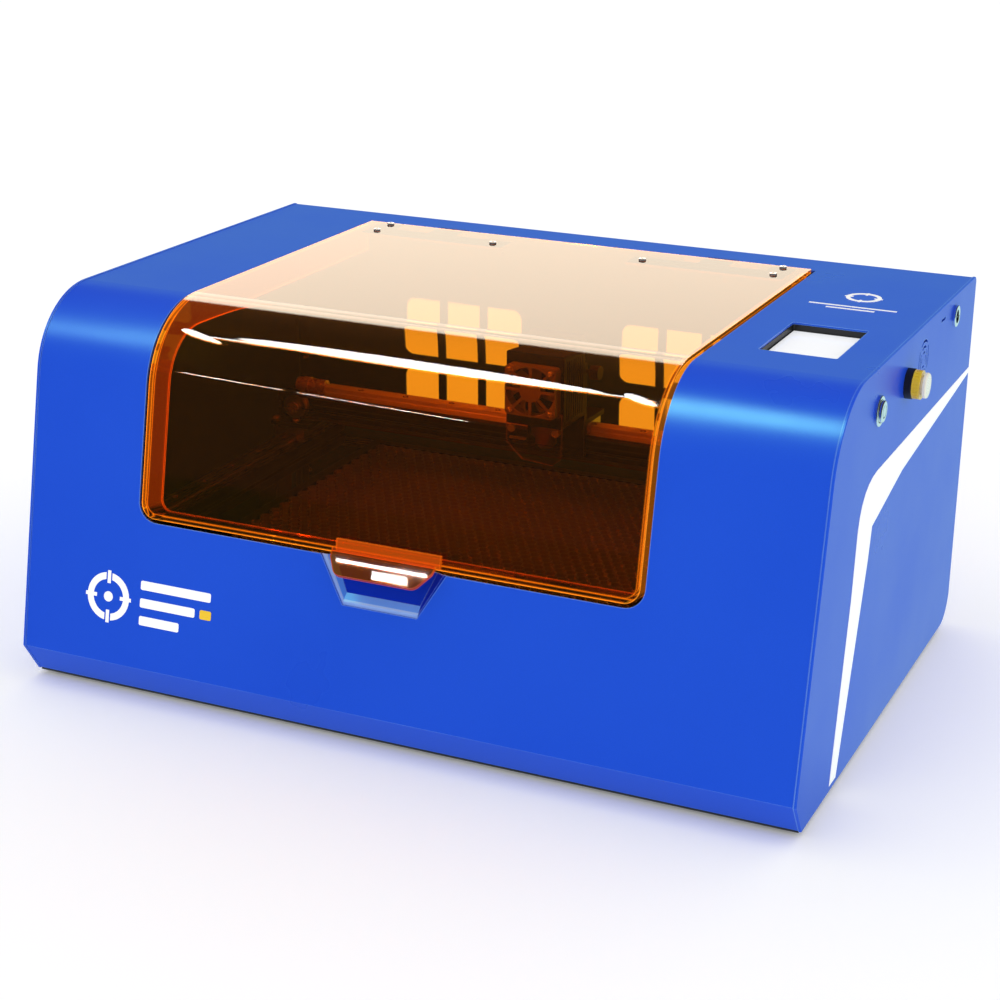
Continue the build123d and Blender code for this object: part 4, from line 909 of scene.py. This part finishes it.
def floor():
    """Plain pale ground."""
    material, tree, shader, coords = new_material("studio_floor")
    weave = noise(tree, coords, 3.0, 2.0)
    plug(shader, "Base Color", blended(tree, weave, (0.955, 0.955, 0.955), (0.965, 0.965, 0.965)))
    shader.inputs["Emission Color"].default_value = (1.0, 1.0, 1.0, 1.0)
    shader.inputs["Emission Strength"].default_value = 0.13
    shader.inputs["Roughness"].default_value = 0.9
    shader.inputs["Specular IOR Level"].default_value = 0.1
    place = tree.nodes.new("ShaderNodeSeparateXYZ")
    tree.links.new(coords, place.inputs["Vector"])
    seen = tree.nodes.new("ShaderNodeEmission")
    seen.inputs["Color"].default_value = MIRRORED_FLOOR
    plain = mapped(tree, place.outputs["Y"], FLOOR_DARK_Y, FLOOR_BRIGHT_Y, FLOOR_DARK, FLOOR_BRIGHT)
    tree.links.new(softened(tree, plain), seen.inputs["Strength"])
    mix_shader(tree, mirror_rays(tree), shader.outputs["BSDF"], seen.outputs["Emission"])
    shape = bmesh.new()
    corners = ((-1, -1), (1, -1), (1, 1), (-1, 1))
    shape.faces.new([shape.verts.new((x * FLOOR_REACH, y * FLOOR_REACH, 0.0)) for x, y in corners])
    mesh = bpy.data.meshes.new("studio_floor")
    shape.to_mesh(mesh)
    shape.free()
    mesh.materials.append(material)
    ground = bpy.data.objects.new("studio_floor", mesh)
    scene.collection.objects.link(ground)


floor()

world = bpy.data.worlds.new("studio")
world.use_nodes = True
sky = world.node_tree
background = sky.nodes["Background"]
background.inputs["Color"].default_value = (1.0, 1.0, 1.0, 1.0)
mirrored = mirror_rays(sky)
straight = arithmetic(sky, "MULTIPLY", remainder(sky, mirrored), ROOM_LIGHT)
seen_back = arithmetic(sky, "MULTIPLY", mirrored, softened(sky, MIRRORED_ROOM))
sky.links.new(arithmetic(sky, "ADD", straight, seen_back), background.inputs["Strength"])
scene.world = world


# ------------------------------------------------------------------ lights
def soft_light(name, place, target, width, height, radiance, shape="RECTANGLE", only=None):
    """Area light that faces target. If only is given, it lights those objects alone."""
    light = bpy.data.lights.new(name, "AREA")
    light.shape = shape
    light.size = width
    light.size_y = height
    area = width * height * (pi / 4 if shape == "ELLIPSE" else 1.0)
    light.energy = radiance * pi * area
    lamp = bpy.data.objects.new(name, light)
    aim = (Vector(target) - Vector(place)).to_track_quat("-Z", "Y")
    lamp.matrix_world = Matrix.Translation(place) @ aim.to_matrix().to_4x4()
    scene.collection.objects.link(lamp)
    lamp.visible_camera = False
    if only is not None:
        group = bpy.data.collections.new(name + "_receivers")
        for node_name in only:
            group.objects.link(nodes[node_name])
        lamp.light_linking.receiver_collection = group
    return lamp


def long_light(name, start, end, forward, width, radiance, only, shape="RECTANGLE"):
    """Light that runs from start to end and faces forward, which is squared up to its run."""
    start, end, forward = Vector(start), Vector(end), Vector(forward).normalized()
    middle = (start + end) / 2
    along = (end - start).normalized()
    across = along.cross(forward).normalized()
    along = forward.cross(across).normalized()
    length = (end - start).length
    lamp = soft_light(name, middle, middle + forward, length, width, radiance, shape, only)
    turn = Matrix((along, across, -forward)).transposed()
    lamp.matrix_world = Matrix.Translation(middle) @ turn.to_4x4()
    return lamp


LID_PARTS = ("lid_cover", "lid_screws")
SHEET = ("lid_cover",)
HANDLE = ("lid_handle",)
DOWN = (0, 0, -1)

# lamps that hang level and show as the white streak on the lid and the blue band on the casing
CEILING = 1.5
STREAK, BAND_WIDTH = 24.0, 0.42
for name, start, end, width in (
    ("streak_middle", (-0.88, -0.39), (-0.36, -0.52), 0.27),
    ("streak_thread", (-0.97, -0.47), (-0.29, -0.55), 0.07),
    ("streak_left", (-0.973, -0.48), (-0.936, -0.48), 0.34),
    ("streak_right", (-0.330, -0.57), (-0.298, -0.57), 0.30),
):
    long_light(name, (*start, CEILING), (*end, CEILING), DOWN, width, STREAK, SHEET, "ELLIPSE")
for name, start, end, radiance in (
    ("casing_band_left", (-1.45, -1.03), (-0.85, -0.811), 14.0),
    ("casing_band_right", (-0.85, -0.811), (0.0, -0.50), 32.0),
):
    ends = (*start, CEILING), (*end, CEILING)
    band = long_light(name, *ends, DOWN, BAND_WIDTH, radiance, (*CASING, "finger_pocket"))
    band.visible_diffuse = False
for name, start_x, end_x, y, width, radiance in (
    ("handle_line", -0.752, -0.611, -0.4985, 0.004, 60.0),
    ("handle_patch", -0.695, -0.640, -0.511, 0.012, 34.0),
):
    long_light(name, (start_x, y, CEILING), (end_x, y, CEILING), DOWN, width, radiance, HANDLE)

# panels behind the machine that show on the lid's top and bend. Each starts higher and hangs
# nearer, because the bend mirrors less the more it turns
PANEL_X, PANEL_WIDTH, PANEL_TOP = -1.25, 3.6, 2.65
PANEL_COLOUR = (1.0, 0.84, 0.66)
for name, y, bottom, radiance in (
    ("lid_panel", 2.25, 0.15, 2.86),
    ("upper_panel", 2.15, 1.15, 1.9),
    ("top_panel", 2.05, 1.65, 1.9),
):
    height = PANEL_TOP - bottom
    z = bottom + height / 2
    place, target = (PANEL_X, y, z), (PANEL_X, 0.0, z)
    panel = soft_light(name, place, target, PANEL_WIDTH, height, radiance, only=LID_PARTS)
    panel.data.color = PANEL_COLOUR
    panel.visible_transmission = False
casing_panel = soft_light("casing_panel", (-0.2, 2.4, 1.0), (0.0, 0.0, 0.26), 4.5, 1.9, 0.42, only=CASING)
casing_panel.data.color = (0.42, 1.0, 0.8)
casing_panel.visible_diffuse = False

# narrow tubes in front of the machine that show as the thin line on the lid
LID_BEND = Vector((0, -0.16, 0.23))
TUBE_WIDTH, TUBE_RADIANCE = 0.012, 40.0
for name, start, end in (
    ("front_line_left", Vector((-1.398, -2.0, 1.048)), Vector((-1.207, -2.0, 0.945))),
    ("front_line_right", Vector((-1.122, -2.0, 0.905)), Vector((-0.83, -2.0, 0.77))),
):
    towards_lid = LID_BEND - (start + end) / 2
    long_light(name, start, end, towards_lid, TUBE_WIDTH, TUBE_RADIANCE, LID_PARTS)


# ------------------------------------------------------------------ camera
CAMERA_LENS = 76.07
CAMERA_AZIMUTH = radians(24.20)
CAMERA_ELEVATION = radians(19.575)
CAMERA_ROLL = radians(0.73)
CAMERA_DISTANCE = 1.5131
CAMERA_TARGET = Vector((-0.0029, -0.0198, 0.1253))

camera = bpy.data.cameras.new("camera")
camera.lens = CAMERA_LENS
camera.sensor_width = 36.0
camera.clip_start = 0.05
camera.clip_end = 50.0
camera_object = bpy.data.objects.new("camera", camera)
scene.collection.objects.link(camera_object)
back = Vector(
    (
        sin(CAMERA_AZIMUTH) * cos(CAMERA_ELEVATION),
        -cos(CAMERA_AZIMUTH) * cos(CAMERA_ELEVATION),
        sin(CAMERA_ELEVATION),
    )
)
level = (-back).cross(Vector((0, 0, 1))).normalized()
upright = level.cross(-back)
right = level * cos(CAMERA_ROLL) + upright * sin(CAMERA_ROLL)
up = upright * cos(CAMERA_ROLL) - level * sin(CAMERA_ROLL)
turn = Matrix((right, up, back)).transposed()
camera_object.matrix_world = Matrix.Translation(CAMERA_TARGET + back * CAMERA_DISTANCE) @ turn.to_4x4()
scene.camera = camera_object

scene.view_settings.view_transform = "Standard"
scene.view_settings.look = "None"
